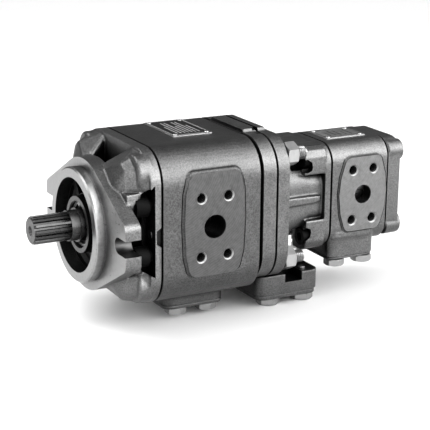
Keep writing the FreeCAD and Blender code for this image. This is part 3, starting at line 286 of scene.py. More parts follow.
class Surface:
    """A Principled material whose textures follow the piece's own coordinates, in metres."""

    def __init__(self, name, color, metallic, roughness):
        self.material = bpy.data.materials.new(name)
        self.material.use_nodes = True
        self.tree = self.material.node_tree
        self.shader = self.tree.nodes["Principled BSDF"]
        self.place = self.node("TexCoord").outputs["Object"]
        self.color = (*color, 1.0) if isinstance(color, tuple) else (color, color, color, 1.0)
        self.shader.inputs["Base Color"].default_value = self.color
        self.shader.inputs["Metallic"].default_value = metallic
        self.shader.inputs["Roughness"].default_value = roughness
        self.bump = None

    def node(self, kind, settings=None, **inputs):
        """Add a shader node with some of its settings and inputs filled in."""
        made = self.tree.nodes.new("ShaderNode" + kind)
        for key, value in (settings or {}).items():
            setattr(made, key, value)
        for key, value in inputs.items():
            self.feed(made.inputs[key.replace("_", " ")], value)
        return made

    def feed(self, socket, value):
        """Link a socket to another one, or set it to a constant."""
        if isinstance(value, bpy.types.NodeSocket):
            self.tree.links.new(value, socket)
        else:
            socket.default_value = value

    def noise(self, scale, detail=2.0, roughness=0.5):
        """Cloudy noise that varies about 0.5."""
        return self.node("TexNoise", Vector=self.place, Scale=scale, Detail=detail,
                         Roughness=roughness).outputs["Fac"]

    def spread(self, source, low, high, start=0.3, end=0.7):
        """The source, which varies about 0.5, as a number between low and high."""
        return self.node("MapRange", Value=source, From_Min=start, From_Max=end, To_Min=low,
                         To_Max=high).outputs["Result"]

    def moved(self, centre):
        """Coordinates measured from a centre in millimetres."""
        return self.node("Mapping", {"vector_type": "POINT"}, Vector=self.place,
                         Location=tuple(-value * MM for value in centre)).outputs["Vector"]

    def rings(self, axis, centre, pitch, distortion):
        """Fine rings about a line parallel to an axis."""
        return self.node(
            "TexWave", {"wave_type": "RINGS", "rings_direction": axis, "wave_profile": "SIN"},
            Vector=self.moved(centre), Scale=math.pi / 10 / (pitch * MM), Distortion=distortion,
            Detail=3.0, Detail_Scale=0.4, Detail_Roughness=0.6).outputs["Fac"]

    def shade(self, factor, darkest, lightest):
        """Multiply the base colour by a number that runs with the factor from 0 to 1."""
        tone = self.spread(factor, darkest, lightest, 0.0, 1.0)
        grey = self.node("CombineColor", Red=tone, Green=tone, Blue=tone).outputs["Color"]
        socket = self.shader.inputs["Base Color"]
        current = socket.links[0].from_socket if socket.is_linked else self.color
        mix = self.node("Mix", {"data_type": "RGBA", "blend_type": "MULTIPLY"})
        mix.inputs[0].default_value = 1.0
        self.feed(mix.inputs[6], current)
        self.feed(mix.inputs[7], grey)
        self.tree.links.new(mix.outputs[2], socket)

    def rough(self, source, low, high):
        """Let the roughness run between two values with the source."""
        self.feed(self.shader.inputs["Roughness"], self.spread(source, low, high))

    def raised(self, height, distance, strength=1.0):
        """Add a bump of the given height in millimetres."""
        bump = self.node("Bump", Height=height, Distance=distance * MM, Strength=strength)
        if self.bump:
            self.tree.links.new(self.bump.outputs["Normal"], bump.inputs["Normal"])
        self.bump = bump
        self.tree.links.new(bump.outputs["Normal"], self.shader.inputs["Normal"])

    def edge_wear_and_corner_shade(self, amount):
        """Lighter metal along outer edges, as wear, and darker metal in inner corners, as painted
        shade.
        """
        point = self.node("NewGeometry").outputs["Pointiness"]
        edge = self.spread(point, 0.0, 1.0, 0.44, 0.58)
        self.shade(edge, 1.0 - amount / 2, 1.0 + amount / 2)

    def paint_hollow_shade(self, depth, darkest):
        """Painted shade: darker in deep, closed hollows, as ambient occlusion finds them."""
        open_air = self.node("AmbientOcclusion", {"samples": 8}, Distance=depth * MM)
        self.shade(self.spread(open_air.outputs["AO"], 0.0, 1.0, 0.25, 0.85), darkest, 1.0)


def cast_iron(name, tone, hollow_shade=0.10):
    """A sand casting: speckled, faintly uneven, lighter on its edges, with painted shade in its
    inner corners and hollows.
    """
    surface = Surface(name, tone, 0.92, 0.46)
    grain = surface.noise(820, 3.0, 0.6)
    patch = surface.noise(55, 3.0, 0.55)
    surface.shade(surface.spread(grain, 0.0, 1.0, 0.35, 0.65), 0.70, 1.30)
    surface.shade(surface.spread(patch, 0.0, 1.0, 0.35, 0.65), 0.90, 1.10)
    # lighter outer edges as wear, darker inner corners as painted shade
    surface.edge_wear_and_corner_shade(0.5)
    # painted shade: deep hollows darken to the given level, narrow creases to 0.45
    surface.paint_hollow_shade(26, hollow_shade)
    surface.paint_hollow_shade(4, 0.45)
    surface.rough(grain, 0.34, 0.50)
    surface.raised(surface.noise(230, 2.0, 0.5), 0.35, 0.5)
    surface.raised(grain, 0.22, 0.7)
    return surface.material


def machined_face(name, tone, roughness, axis, centre, pitch, mark):
    """Turned or milled iron with fine rings about a line parallel to an axis."""
    surface = Surface(name, tone, 1.0, roughness)
    rings = surface.rings(axis, centre, pitch, distortion=9.0)
    streak = surface.noise(300, 3.0, 0.6)
    surface.shade(surface.spread(streak, 0.0, 1.0), 0.86, 1.12)
    surface.shade(rings, 1.0 - mark, 1.0 + mark)
    # painted shade in the hollows next to a machined face
    surface.paint_hollow_shade(16, 0.18)
    surface.rough(streak, roughness - 0.05, roughness + 0.08)
    surface.raised(rings, 0.03, 0.5)
    return surface.material


def plain_metal(name, tone, roughness, grain=400.0, bump=0.03, variety=0.10, hollow_shade=1.0,
                hollow=4.0):
    """Bare or plated metal with a fine grain; a hollow-shade level below 1 darkens its hollows as
    painted shade.
    """
    surface = Surface(name, tone, 1.0, roughness)
    fine = surface.noise(grain, 3.0, 0.6)
    surface.shade(surface.spread(fine, 0.0, 1.0), 1 - variety, 1 + variety)
    # painted shade in hollows within the given depth
    if hollow_shade < 1.0:
        surface.paint_hollow_shade(hollow, hollow_shade)
    surface.rough(surface.noise(grain / 4, 2.0), roughness - 0.05, roughness + 0.08)
    surface.raised(fine, bump, 0.4)
    return surface.material


def coating(name, tone, roughness, grain, gloss=0.5):
    """Rubber, gasket sheet or paint with a fine grain."""
    surface = Surface(name, tone, 0.0, roughness)
    surface.shader.inputs["Specular IOR Level"].default_value = gloss
    fine = surface.noise(grain, 3.0, 0.6)
    surface.shade(surface.spread(fine, 0.0, 1.0), 0.7, 1.3)
    surface.rough(fine, roughness - 0.08, roughness + 0.08)
    surface.raised(fine, 0.05, 0.5)
    return surface.material


def milled_port_face(stage, tone, mark):
    """A port's face with arcs from a cutter that swings about a point beside the port."""
    port, _ = mount(stage + "_pressure_port")
    pivot = port + Vector((-60.0, 0.0, 70.0))
    return machined_face(stage + "_milled_iron", tone, 0.36, axis="Y", centre=pivot, pitch=2.1,
                         mark=mark)


def make_materials():
    """Every metal and coating, under the plain name that the pieces use."""
    return {
        "cast": cast_iron("cast_iron", 0.075),
        # a lighter copy of the cast iron as painted light on the cover's webs and ears, with deeper
        # painted shade in its pockets
        "lit_cover_cast": cast_iron("lit_cover_iron", 0.115, hollow_shade=0.05),
        "rear_cast": cast_iron("rear_cast_iron", 0.098),
        # near-black iron: painted shade in cut hollows, slits, seats and holes, and the dark of the
        # joint grooves
        "recess_shade": cast_iron("shade_black_iron", 0.02),
        "turned": machined_face("turned_iron", 0.27, 0.32, axis="X", centre=(0, 0, 0), pitch=0.6,
                                mark=0.04),
        "front_milled": milled_port_face("front", 0.08, 0.07),
        "rear_milled": milled_port_face("rear", 0.14, 0.05),
        # bores: painted shade in their hollows
        "bored": plain_metal("bored_iron", 0.05, 0.38, hollow_shade=0.2),
        # nuts and studs: painted shade in the crevices round them
        "zinc": plain_metal("bright_zinc", 0.31, 0.32, grain=260.0, variety=0.06, hollow_shade=0.4),
        # black oxide, made darker still as painted shade so bolts in the pockets sink into it
        "oxide_and_shade": plain_metal("black_finish_and_shade", 0.006, 0.65, grain=500.0),
        # shaft: painted shade in its centre hole and spline grooves
        "shaft": plain_metal("shaft_steel", 0.055, 0.28, grain=700.0, bump=0.02, variety=0.14,
                             hollow_shade=0.03, hollow=9.0),
        "ground": plain_metal("ground_steel", 0.08, 0.30, grain=900.0, bump=0.01),
        "bronze": plain_metal("bearing_bronze", (0.55, 0.38, 0.20), 0.35),
        "rubber": coating("nitrile_rubber", 0.02, 0.55, grain=900.0),
        "gasket": coating("gasket_sheet", 0.015, 0.7, grain=1200.0),
        "enamel": coating("black_enamel", 0.008, 0.35, grain=300.0, gloss=0.15),
        "print": coating("light_print", 0.45, 0.5, grain=600.0),
        "etched": plain_metal("etched_aluminium", 0.42, 0.40, grain=600.0, bump=0.02),
        "rivet": plain_metal("rivet_aluminium", 0.55, 0.30, grain=500.0, bump=0.01, variety=0.05),
    }


METALS = make_materials()

# ---- sizes shared by the castings

HOUSING_LOW, HOUSING_HIGH = span("front_housing")
REAR_LOW, REAR_HIGH = span("rear_housing")
HALF = HOUSING_HIGH.y  # half the main casing's width
TOP = HOUSING_HIGH.z
MIDDLE = TOP - HALF  # height of the square casing's centre
CASING_CORNER = 30.0
PLATE_START, PLATE_END = 32.0, HOUSING_LOW.x
CHAMBER_LOW, CHAMBER_HIGH = span("front_ring_gear")
CHAMBER_UP = (CHAMBER_LOW.z + CHAMBER_HIGH.z) / 2
CHAMBER_RADIUS = (CHAMBER_HIGH.z - CHAMBER_LOW.z) / 2
REAR_HALF = REAR_HIGH.y
REAR_TOP = REAR_HIGH.z
REAR_MIDDLE = 5.0
REAR_BOTTOM = 2 * REAR_MIDDLE - REAR_TOP
REAR_CORNER = 18.4
REAR_CHAMBER_LOW, REAR_CHAMBER_HIGH = span("rear_ring_gear")
REAR_CHAMBER_UP = (REAR_CHAMBER_LOW.z + REAR_CHAMBER_HIGH.z) / 2
REAR_CHAMBER_RADIUS = (REAR_CHAMBER_HIGH.z - REAR_CHAMBER_LOW.z) / 2
FOOT_CUT = span("end_plate")[0].z  # where the end plates rest on the suction block
BUSH_RADIUS = span("front_bush")[1].y
REAR_BUSH_RADIUS = span("rear_bush")[1].y
SLEEVE_BORE = 24.0
SEAL_BORE = 20.25
STOCK = 1.6  # left on a casting's faces, to be machined off
FAR = 130.0  # clear of everything across the shaft axis
OVERRUN = 20.0  # how far a facing cut runs past its face
LEAD = 5.0  # how far a bore or a block runs past a face


def square_off(start, end, spigot=0.0, up=0.0):
    """A tool that faces a casting between two stations and leaves a round spigot."""
    if spigot:
        ring = [(start, spigot), (start, FAR), (end, FAR), (end, spigot)]
        return turned(ring, 0.0, up, closed=True)
    return turned([(start, FAR), (end, FAR)], steps=12)


def joint_tool(outline, x, depth=1.8, width=1.3):
    """A V-shaped groove round a casting's outline, which is a function of its growth."""
    return loft([(x - width, outline(0.3)), (x, outline(-depth)), (x + width, outline(0.3)),
                 (x + width, outline(12.0)), (x - width, outline(12.0))], closed=True)


def bore(start, end, radius, up=0.0):
    """A tool for a round bore along the shaft."""
    return turned([(start, radius), (end, radius)], 0.0, up)


def drilled(places, start, end, radius, axis="x", chamfer=0.6):
    """Round holes with a chamfer at their start."""
    way = math.copysign(1.0, end - start)
    profile = [(start - way, radius + chamfer + 1), (start + way * chamfer, radius), (end, radius)]
    return [turned(profile, across, up, axis, 48) for across, up in places]


def tapped(places, start, end, radius, pitch, axis):
    """Threaded holes."""
    return [threaded(across, up, start - 0.5, end, radius + 0.3, pitch, axis)
            for across, up in places]


def front_outline(grow):
    """The square outline of the front cover and the main casing."""
    return plate_outline(HALF, MIDDLE - HALF, TOP, CASING_CORNER, grow)


def end_outline(grow):
    """The same outline, cut off below where the suction block joins."""
    return plate_outline(HALF, FOOT_CUT, TOP, CASING_CORNER, grow)


def rear_outline(grow):
    """The outline of the rear pump's casing."""
    return plate_outline(REAR_HALF, REAR_BOTTOM, REAR_TOP, REAR_CORNER, grow)


# ---- front cover

SLOT_PLACE, SLOT_SIZES = mount("near_slot")
PILOT_RADIUS = mount("pilot")[1]["r_mm"]
FLANGE_RADIUS = 58.5
FLANGE_BACK = 15.0
EAR_REACH, EAR_HALF, EAR_CORNER = span("front_cover")[1].y, 19.0, 7.0
RECESS_RADIUS, RECESS_FLOOR = 42.0, 8.0
HUB_RADIUS, HUB_START = 25.0, -6.0
RIB_DEGREES = (52, 142, 250, 322)  # where low ribs cross the hollow round the hub
RIB_HALF_TURN = 0.09
COVER_BOLT_ACROSS, COVER_BOLT_UP = 57.5, 22.0
COVER_BOLT_SEAT, COVER_BOLT_SEAT_DEPTH = 9.6, 12.0
SEAL_FLOOR = 13.0
CLIP_GROOVE = (-2.7, -0.9)

# The pilot is a raised ring with an undercut at its root and a chamfer at its end
PILOT_LENGTH, PILOT_CHAMFER = 9.7, 1.3
UNDERCUT, UNDERCUT_WIDTH = 0.6, 2.2
PILOT_BLANK = [(-10 - STOCK, 53), (1, 53)]

# The round body between the flange and the plate, as (station, radius)
COVER_BODY = [(10, 50), (16, 46.5), (24, 45), (34, 46)]

# A corner web, as (station, height it is centred on, outline of one corner)
PILLAR = [(7.0, 0.0, [(10, 36), (40, 22), (47, 32), (42, 44), (10, 52)]),
          (15.0, 2.0, [(14, 38), (44, 24), (56, 40), (54, 57), (46, 63), (14, 58)]),
          (34.0, MIDDLE, [(26, 34), (60, 34), (68, 44), (63, 61), (50, 71), (26, 72.5)])]
PILLAR_CORNER = 6.0

# The round boss where a corner web meets the plate
CORNER_BOSS = [(23.0, 14.0), (24.5, 16.2), (36.0, 16.6)]
CORNER_BOSS_OUT = 49

# The wall behind an ear, as (station, its outer edge near the middle, its outer edge far from it)
BOLT_WALL = [(12.0, 66.0, 64.0), (27.0, 58.0, 62.0)]
BOLT_WALL_ROOT = 44.0
BOLT_WALL_RISE = (18.5, 35.0)

# The slit behind an ear: how deep it goes, and its outline along the shaft and up
SLIT_FLOOR, SLIT_MOUTH = 50.0, 95.0
SLIT_OUTLINE = [(25.5, 38.0), (36.0, 46.0), (36.0, -35.0), (25.5, -29.0)]

# The notch for a lever, as (distance before the joint, lower edge, upper edge)
PRY_MOUTH = [(6, -7.5, 8), (-1, -9.6, 10)]
PRY_FLOOR = [(5, -5, 6), (-1, -9.6, 10)]
PRY_DEPTH, PRY_OUT = 3, 90


def ear_outline():
    """The two-bolt flange: a disc with an ear to each side."""
    reach = math.hypot(EAR_REACH, EAR_HALF)
    touch = math.atan2(EAR_HALF, EAR_REACH) + math.acos(FLANGE_RADIUS / reach)
    across, up = FLANGE_RADIUS * math.cos(touch), FLANGE_RADIUS * math.sin(touch)
    corners = [(EAR_REACH, -EAR_HALF), (EAR_REACH, EAR_HALF), (across, up), (-across, up),
               (-EAR_REACH, EAR_HALF), (-EAR_REACH, -EAR_HALF), (-across, -up), (across, -up)]
    return rounded(corners, EAR_CORNER, 6)


def pillar(side, rise):
    """A corner web that spreads from the flange to the corner of the square plate."""
    return hull([(x, side * across, centre + rise * (up - centre))
                 for x, centre, outline in PILLAR
                 for across, up in rounded(outline, PILLAR_CORNER, 5)])


def slot_tool(side):
    """An open U slot through an ear."""
    radius = SLOT_SIZES["r_mm"]
    bend = [(side * (abs(SLOT_PLACE.y) - radius * math.sin(turn)), radius * math.cos(turn))
            for turn in (math.pi * step / 24 for step in range(25))]
    outline = bend + [(side * FAR, -radius), (side * FAR, radius)]
    return loft([(-OVERRUN, outline), (FLANGE_BACK + 3, outline)])


def sector(start, end, steps=24):
    """Part of the hollow round the hub, between two of its ribs."""
    profile = [(1.0, HUB_RADIUS + 1.5), (1.0, RECESS_RADIUS - 1.5), (5.0, RECESS_RADIUS - 2),
               (RECESS_FLOOR, RECESS_RADIUS - 5), (RECESS_FLOOR, HUB_RADIUS + 4.5),
               (5.0, HUB_RADIUS + 2)]
    turns = [start + (end - start) * step / steps for step in range(steps + 1)]
    return stacked([[(x, radius * math.cos(turn), radius * math.sin(turn))
                     for x, radius in profile] for turn in turns])


def recess_tools():
    """The ring-shaped hollow round the hub, interrupted by low ribs."""
    rim = [(-OVERRUN, HUB_RADIUS), (-OVERRUN, RECESS_RADIUS), (0.0, RECESS_RADIUS - 0.4),
           (2.0, RECESS_RADIUS - 1), (2.0, HUB_RADIUS + 1), (0.0, HUB_RADIUS)]
    turns = [math.radians(degrees) for degrees in RIB_DEGREES]
    gaps = zip(turns, turns[1:] + [turns[0] + 2 * math.pi])
    hollows = [sector(here + RIB_HALF_TURN, there - RIB_HALF_TURN) for here, there in gaps]
    return [turned(rim, closed=True)] + hollows


def bolt_wall(side, rise):
    """The thickening behind an ear round the head of a cover bolt."""
    heights = [MIDDLE + rise * height for height in BOLT_WALL_RISE]
    return hull([(x, side * across, up) for x, *edges in BOLT_WALL
                 for across, up in zip((BOLT_WALL_ROOT, BOLT_WALL_ROOT, *edges), heights * 2)])


def slit(side):
    """The deep, narrow hollow along the plate behind an ear."""
    return hull([(x, side * y, z) for y in (SLIT_FLOOR, SLIT_MOUTH) for x, z in SLIT_OUTLINE])


def pry_notch():
    """The notch in the plate's near edge where a lever parts the joint."""
    return hull([(PLATE_END - back, y, z)
                 for y, rows in ((-PRY_OUT, PRY_MOUTH), (-HALF + PRY_DEPTH, PRY_FLOOR))
                 for back, *edges in rows for z in edges])


def bolt_seat(side, rise):
    """The flat seat for a cover bolt's head."""
    return turned([(PLATE_START - COVER_BOLT_SEAT_DEPTH, COVER_BOLT_SEAT),
                   (PLATE_START, COVER_BOLT_SEAT)], side * COVER_BOLT_ACROSS,
                  MIDDLE + rise * COVER_BOLT_UP, steps=32)


def pilot_lathe():
    """A lathe cut that leaves the flange's face and the pilot."""
    air, centre = -30, 0.1
    return turned([(air, centre), (air, FAR), (0, FAR), (0, PILOT_RADIUS - UNDERCUT),
                   (-UNDERCUT_WIDTH, PILOT_RADIUS - UNDERCUT),
                   (-UNDERCUT_WIDTH - 0.4, PILOT_RADIUS),
                   (-PILOT_LENGTH + PILOT_CHAMFER, PILOT_RADIUS),
                   (-PILOT_LENGTH, PILOT_RADIUS - PILOT_CHAMFER), (-PILOT_LENGTH, centre)],
                  closed=True)


def seal_seat():
    """The stepped bore of the hub: a chamfer, a groove for the clip, the seal and the bush."""
    chamfer, depth = 0.7, 0.9
    start, end = CLIP_GROOVE
    return turned([(-30, SEAL_BORE), (HUB_START, SEAL_BORE + chamfer),
                   (HUB_START + chamfer, SEAL_BORE), (start, SEAL_BORE),
                   (start + 0.1, SEAL_BORE + depth), (end - 0.1, SEAL_BORE + depth),
                   (end, SEAL_BORE),
                   (SEAL_FLOOR, SEAL_BORE), (SEAL_FLOOR + 0.01, BUSH_RADIUS), (70, BUSH_RADIUS)])


def front_cover_blank(spigot_end):
    """The solids that the front cover's casting is melted from."""
    ears, plate = ear_outline(), front_outline(0.0)
    solids = [
        turned([(-STOCK, FLANGE_RADIUS), (FLANGE_BACK, FLANGE_RADIUS)]),
        loft([(-STOCK, ears), (FLANGE_BACK, ears)]),
        turned(PILOT_BLANK),
        turned(COVER_BODY),
        loft([(PLATE_START, plate), (PLATE_END + STOCK, plate)]),
        turned([(PLATE_END, CHAMBER_RADIUS + 1), (spigot_end + 2, CHAMBER_RADIUS + 1)],
               0.0, CHAMBER_UP),
    ]
    solids += [pillar(side, rise) for side, rise in CORNERS]
    solids += [turned(CORNER_BOSS, side * CORNER_BOSS_OUT, MIDDLE + rise * CORNER_BOSS_OUT)
               for side, rise in CORNERS]
    return solids + [bolt_wall(side, rise) for side, rise in CORNERS]


def make_front_cover():
    """The flange, hub, corner webs and square plate in one casting, and its machining."""
    spigot_end = span("front_cover")[1].x
    piece = cast("front_cover_casting", front_cover_blank(spigot_end), "lit_cover_cast", 9, 0.5)
    hollows = [slit(side) for side in SIDES]
    hollows += [bolt_seat(side, rise) for side, rise in CORNERS]
    # the slits, bolt seats, hub hollow and seal seat are near-black: painted shade
    machine(piece, hollows, "recess_shade")
    machine(piece, [pilot_lathe()], "turned")
    machine(piece, recess_tools(), "recess_shade")
    machine(piece, [bore(-OVERRUN, HUB_START, HUB_RADIUS + 0.8)], "front_milled")
    machine(piece, [seal_seat()], "recess_shade")
    machine(piece, [slot_tool(side) for side in SIDES], "bored")
    machine(piece, [square_off(PLATE_END, spigot_end + OVERRUN, CHAMBER_RADIUS, CHAMBER_UP),
                    square_off(spigot_end, spigot_end + OVERRUN)], "bored")
    machine(piece, [joint_tool(front_outline, PLATE_END), pry_notch()], "recess_shade")
    finish(piece, "castings", "front_cover")


# ---- pump casings

PORT_DEPTH, PORT_CHAMFER = 32, 0.3
THREAD_REACH, THREAD_PITCH, THREAD_CHAMFER = 16.0, 1.5, 1.2
CHAMBER_PLAY = 0.06
TOOL_ASIDE, TOOL_TALL, TOOL_WIDE, TOOL_DEEP = 40, 120, 90, 30

# Each casing's own sizes. A pad has the right half of its outline, from the top down, as (distance
# from the port along the shaft, height), and its corner radius. The brow is how far the milled face
# stays below the pad's top.
CASINGS = {
    "front": {
        "metal": "cast", "outline": front_outline, "half": HALF, "passes": 4,
        "chamber": (CHAMBER_RADIUS, CHAMBER_UP), "brow": 3.0,
        "pad": ([(24.5, 54), (29, 34), (30, 8), (28.5, -20), (24, -38)], 8.0),
        "foot": {"half_x": 30.5, "half_y": 40.0, "corner": 12.0, "flare": 11.0, "spread": 3.0},
    },
    "rear": {
        "metal": "rear_cast", "outline": rear_outline, "half": REAR_HALF, "passes": 3,
        "chamber": (REAR_CHAMBER_RADIUS, REAR_CHAMBER_UP), "brow": 0.0,
        "pad": ([(18.5, 41), (24.3, 22), (26, 6), (24, -12), (18.5, -29.5)], 7.0),
        "foot": {"half_x": 26.2, "half_y": 37.5, "corner": 10.0, "flare": 19.0, "spread": 1.0},
    },
}


def pad_outline(port, half_outline, radius, grow=0.0, brow=0.0):
    """The barrel-shaped outline of a pressure port's face, with its top edge lowered by brow."""
    top = half_outline[0]
    right = [(port.x + across + grow, up + math.copysign(grow, up) - brow * ((across, up) == top))
             for across, up in half_outline]
    left = [(2 * port.x - across, up) for across, up in reversed(right)]
    return rounded(right + left, radius, 6)


def port_pad(port, half, half_outline, radius, brow):
    """The raised face round a port, flared at its foot and with stock to be milled off."""
    tip = pad_outline(port, half_outline, radius, -0.4 * brow, brow)
    edge = pad_outline(port, half_outline, radius)
    foot = pad_outline(port, half_outline, radius, 0.8)
    return loft([(port.y - STOCK, tip), (port.y + 0.2, tip), (port.y + 1.4, edge),
                 (-half, foot), (-half + 6, foot)], "y")


def pad_line(port, half, half_outline, radius):
    """A narrow groove in the casing round the foot of a port pad."""
    sections = [(y, pad_outline(port, half_outline, radius, grow))
                for y, grow in ((-half - 0.7, 0.7), (-half + 0.5, 0.9), (-half + 0.5, 1.5),
                                (-half - 0.7, 1.8))]
    return loft(sections, "y", closed=True)


def cut_port(piece, port, sizes, pattern):
    """Cut a port and its four threaded holes; their chamfers are bright."""
    along, up = pattern["spacing_x_mm"] / 2, pattern["spacing_y_mm"] / 2
    radius = pattern["hole_r_mm"]
    holes = [(port.x + side * along, port.z + rise * up) for side, rise in CORNERS]
    # the port and its tapped holes are near-black: painted shade
    machine(piece, drilled([(port.x, port.z)], port.y, port.y + PORT_DEPTH, sizes["r_mm"], "y",
                           PORT_CHAMFER)
            + tapped(holes, port.y, port.y + THREAD_REACH, radius, THREAD_PITCH, "y"), "recess_shade")
    machine(piece, drilled(holes, port.y, port.y + THREAD_CHAMFER + 0.4, radius - 0.2, "y",
                           THREAD_CHAMFER), "turned")


def foot_solid(node, base, half_x, half_y, corner, flare, spread, drop=24.0):
    """The pad under a casing and over a cover's node, spread where it meets the casing."""
    low, high = span(node)
    middle = (low.x + high.x) / 2
    sections = []
    for height, grow in ((-STOCK, 0.0), (flare - 5, 0.0), (flare - 2, spread / 3),
                         (flare, spread), (drop, spread)):
        corners = rectangle((middle - half_x - grow, -half_y - grow),
                            (middle + half_x + grow, half_y + grow))
        sections.append((base + height, rounded(corners, corner, 6)))
    return loft(sections, "z")


def make_casing(stage, metal, outline, half, passes, chamber, brow, pad, foot):
    """A pump casing: block, milled port pad, suction foot and the bored gear chamber."""
    node = stage + "_housing"
    low, high = span(node)
    port, sizes = mount(stage + "_pressure_port")
    _, pattern = mount(stage + "_port_threads")
    shell = outline(0.0)
    solids = [
        loft([(low.x - STOCK, shell), (high.x + STOCK, shell)]),
        port_pad(port, half, *pad, brow),
        foot_solid(stage + "_suction_cover", low.z, **foot),
    ]
    piece = cast(node + "_casting", solids, metal, passes, 0.35)
    machine(piece, [block((low.x - TOOL_ASIDE, port.y - TOOL_ASIDE, -TOOL_TALL),
                          (high.x + TOOL_ASIDE, port.y, TOOL_TALL))], stage + "_milled")
    cut_port(piece, port, sizes, pattern)
    machine(piece, [pad_line(port, half, *pad)], metal)
    radius, up = chamber
    machine(piece, [square_off(low.x - OVERRUN, low.x), square_off(high.x, high.x + OVERRUN),
                    bore(low.x - LEAD, high.x + LEAD, radius + CHAMBER_PLAY, up),
                    block((low.x - TOOL_ASIDE, -TOOL_WIDE, low.z - TOOL_DEEP),
                          (high.x + TOOL_ASIDE, TOOL_WIDE, low.z))], "bored")
    machine(piece, [joint_tool(outline, x) for x in (low.x, high.x)], "recess_shade")
    finish(piece, "castings", node)


# ---- end plate and rear cover

SPIGOT_START, END_PLATE_END = span("end_plate")[0].x, span("end_plate")[1].x
GROOVE = 1.4  # the gap seen between the casing and the end plate
GROOVE_DEPTH = 3.0
REAR_FLANGE_END = span("stud_nuts")[0].x
REAR_PLATE_START = 222.0
REAR_COVER_END = REAR_LOW.x
SLEEVE_END = 200.0
CAP_LOW, CAP_HIGH = span("rear_end_cover")
CAP_BOSS = 4.0  # how far the cap's corner bosses stand out
END_BUSH_FLOOR = 303.0

# The raised pad on top of the end plates
CROWN_TOP = span("end_plate")[1].z
CROWN_HALF, CROWN_END, CROWN_SLOPE = 29.0, 163.0, 4.0
CROWN_SKIRT_OUT, CROWN_SKIRT_DOWN = 5, 6
CROWN_NOTCH_LENGTH, CROWN_NOTCH_DEPTH = 4.5, 1.2

# Tie bolts, and the side window of the hollow round a bolt's head as (station, height)
TIE_ACROSS, TIE_UP = 27.5, 35.5
TIE_SEAT = [(190.0, 8.8), (213.0, 8.8)]
TIE_WINDOW = [(190.0, -9.5), (190.0, 3.0), (205.0, -9.5), (204.0, 3.0), (208.5, -8.0),
              (208.5, 0.0), (209.5, -5.0)]
TIE_WINDOW_FLOOR, TIE_WINDOW_MOUTH = 33.0, 45.0

# Corner lugs of the rear cover
LUG_START = 201.0
LUG_ROOT = 14
LUG_CORNER = (9, 3)
LUG_REACH = {1: 25.5, -1: 29.5}
LUG_SKIN = 0.3

# The neck, as (station, half width, half height, corner radius, height of its centre)
NECK = [(164.0, 48.0, 48.0, 30.0, 1.0), (168.0, 45.0, 45.5, 29.0, 2.0),
        (176.0, 41.5, 41.5, 27.0, 3.0), (192.0, 38.0, 36.0, 24.0, 4.5),
        (201.0, 36.0, 32.0, 20.0, 5.0), (210.0, 34.2, 28.0, 17.0, 5.0),
        (224.0, 33.5, 26.0, 15.0, 5.0)]

# The rib along the neck, as (station, distance out, lower edge, upper edge)
RIB = [(REAR_FLANGE_END - 2, 26, 0.0, 13.0), (REAR_FLANGE_END - 2, 46.5, 3.0, 11.5),
       (REAR_PLATE_START - 9, 38.3, 2.2, 8.2), (REAR_PLATE_START - 3, 37.0, 3.0, 7.4),
       (REAR_PLATE_START + 1, 20, 0.0, 9.5)]


def crown(start, end, slope=0.0):
    """The raised pad on top of the end plates; its front edge may slope up."""
    sections = [(start + slope, CROWN_TOP), (end, CROWN_TOP)]
    if slope:
        sections.insert(0, (start, TOP + 0.2))
    out, down = CROWN_HALF + CROWN_SKIRT_OUT, TOP - CROWN_SKIRT_DOWN
    return loft([(x, [(-out, down), (out, down), (CROWN_HALF, top), (-CROWN_HALF, top)])
                 for x, top in sections])


def crown_notch(start, end):
    """A notch in the crown's near edge."""
    inner, outer, above = 3.0 - CROWN_HALF, -40.0, CROWN_TOP + 3
    return hull([(x, y, z) for x in (start, end)
                 for y, z in ((inner, above), (inner, CROWN_TOP - CROWN_NOTCH_DEPTH),
                              (outer, TOP - CROWN_NOTCH_DEPTH), (outer, above))])


def make_end_plate():
    """The plate behind the main casing."""
    face, back = HOUSING_HIGH.x + GROOVE, END_PLATE_END
    plate = end_outline(0.0)
    blank = [loft([(face - STOCK, plate), (back + STOCK, plate)]),
             crown(face - STOCK, back + STOCK, CROWN_SLOPE)]
    piece = cast("end_plate_casting", blank, "rear_cast", 4, 0.4)
    machine(piece, [square_off(face - OVERRUN, face), square_off(back, back + OVERRUN),
                    bore(face - LEAD, back + LEAD, BUSH_RADIUS)], "bored")
    machine(piece, [joint_tool(end_outline, x) for x in (face, back)]
            + [crown_notch(back - CROWN_NOTCH_LENGTH, back + 0.1)], "recess_shade")
    finish(piece, "castings", "end_plate")


def make_end_plate_groove():
    """The floor of the groove in front of the end plate, with its spigot, near-black as painted
    shade, and a lip on top.
    """
    face, floor = HOUSING_HIGH.x + GROOVE, end_outline(-GROOVE_DEPTH)
    inner = make("end_plate_step", [
        loft([(HOUSING_HIGH.x, floor), (face + 0.2, floor)]),
        turned([(SPIGOT_START, CHAMBER_RADIUS), (face, CHAMBER_RADIUS)], 0.0, CHAMBER_UP)],
        "recess_shade")
    machine(inner, [bore(SPIGOT_START - LEAD, END_PLATE_END, BUSH_RADIUS)], "bored")
    finish(inner, "castings")
    lip = block((HOUSING_HIGH.x + 0.1, -CROWN_HALF, TOP - GROOVE_DEPTH - 0.2),
                (face + 0.3, CROWN_HALF, TOP - 0.2))
    finish(make("end_plate_lip", [lip], "cast"), "castings")


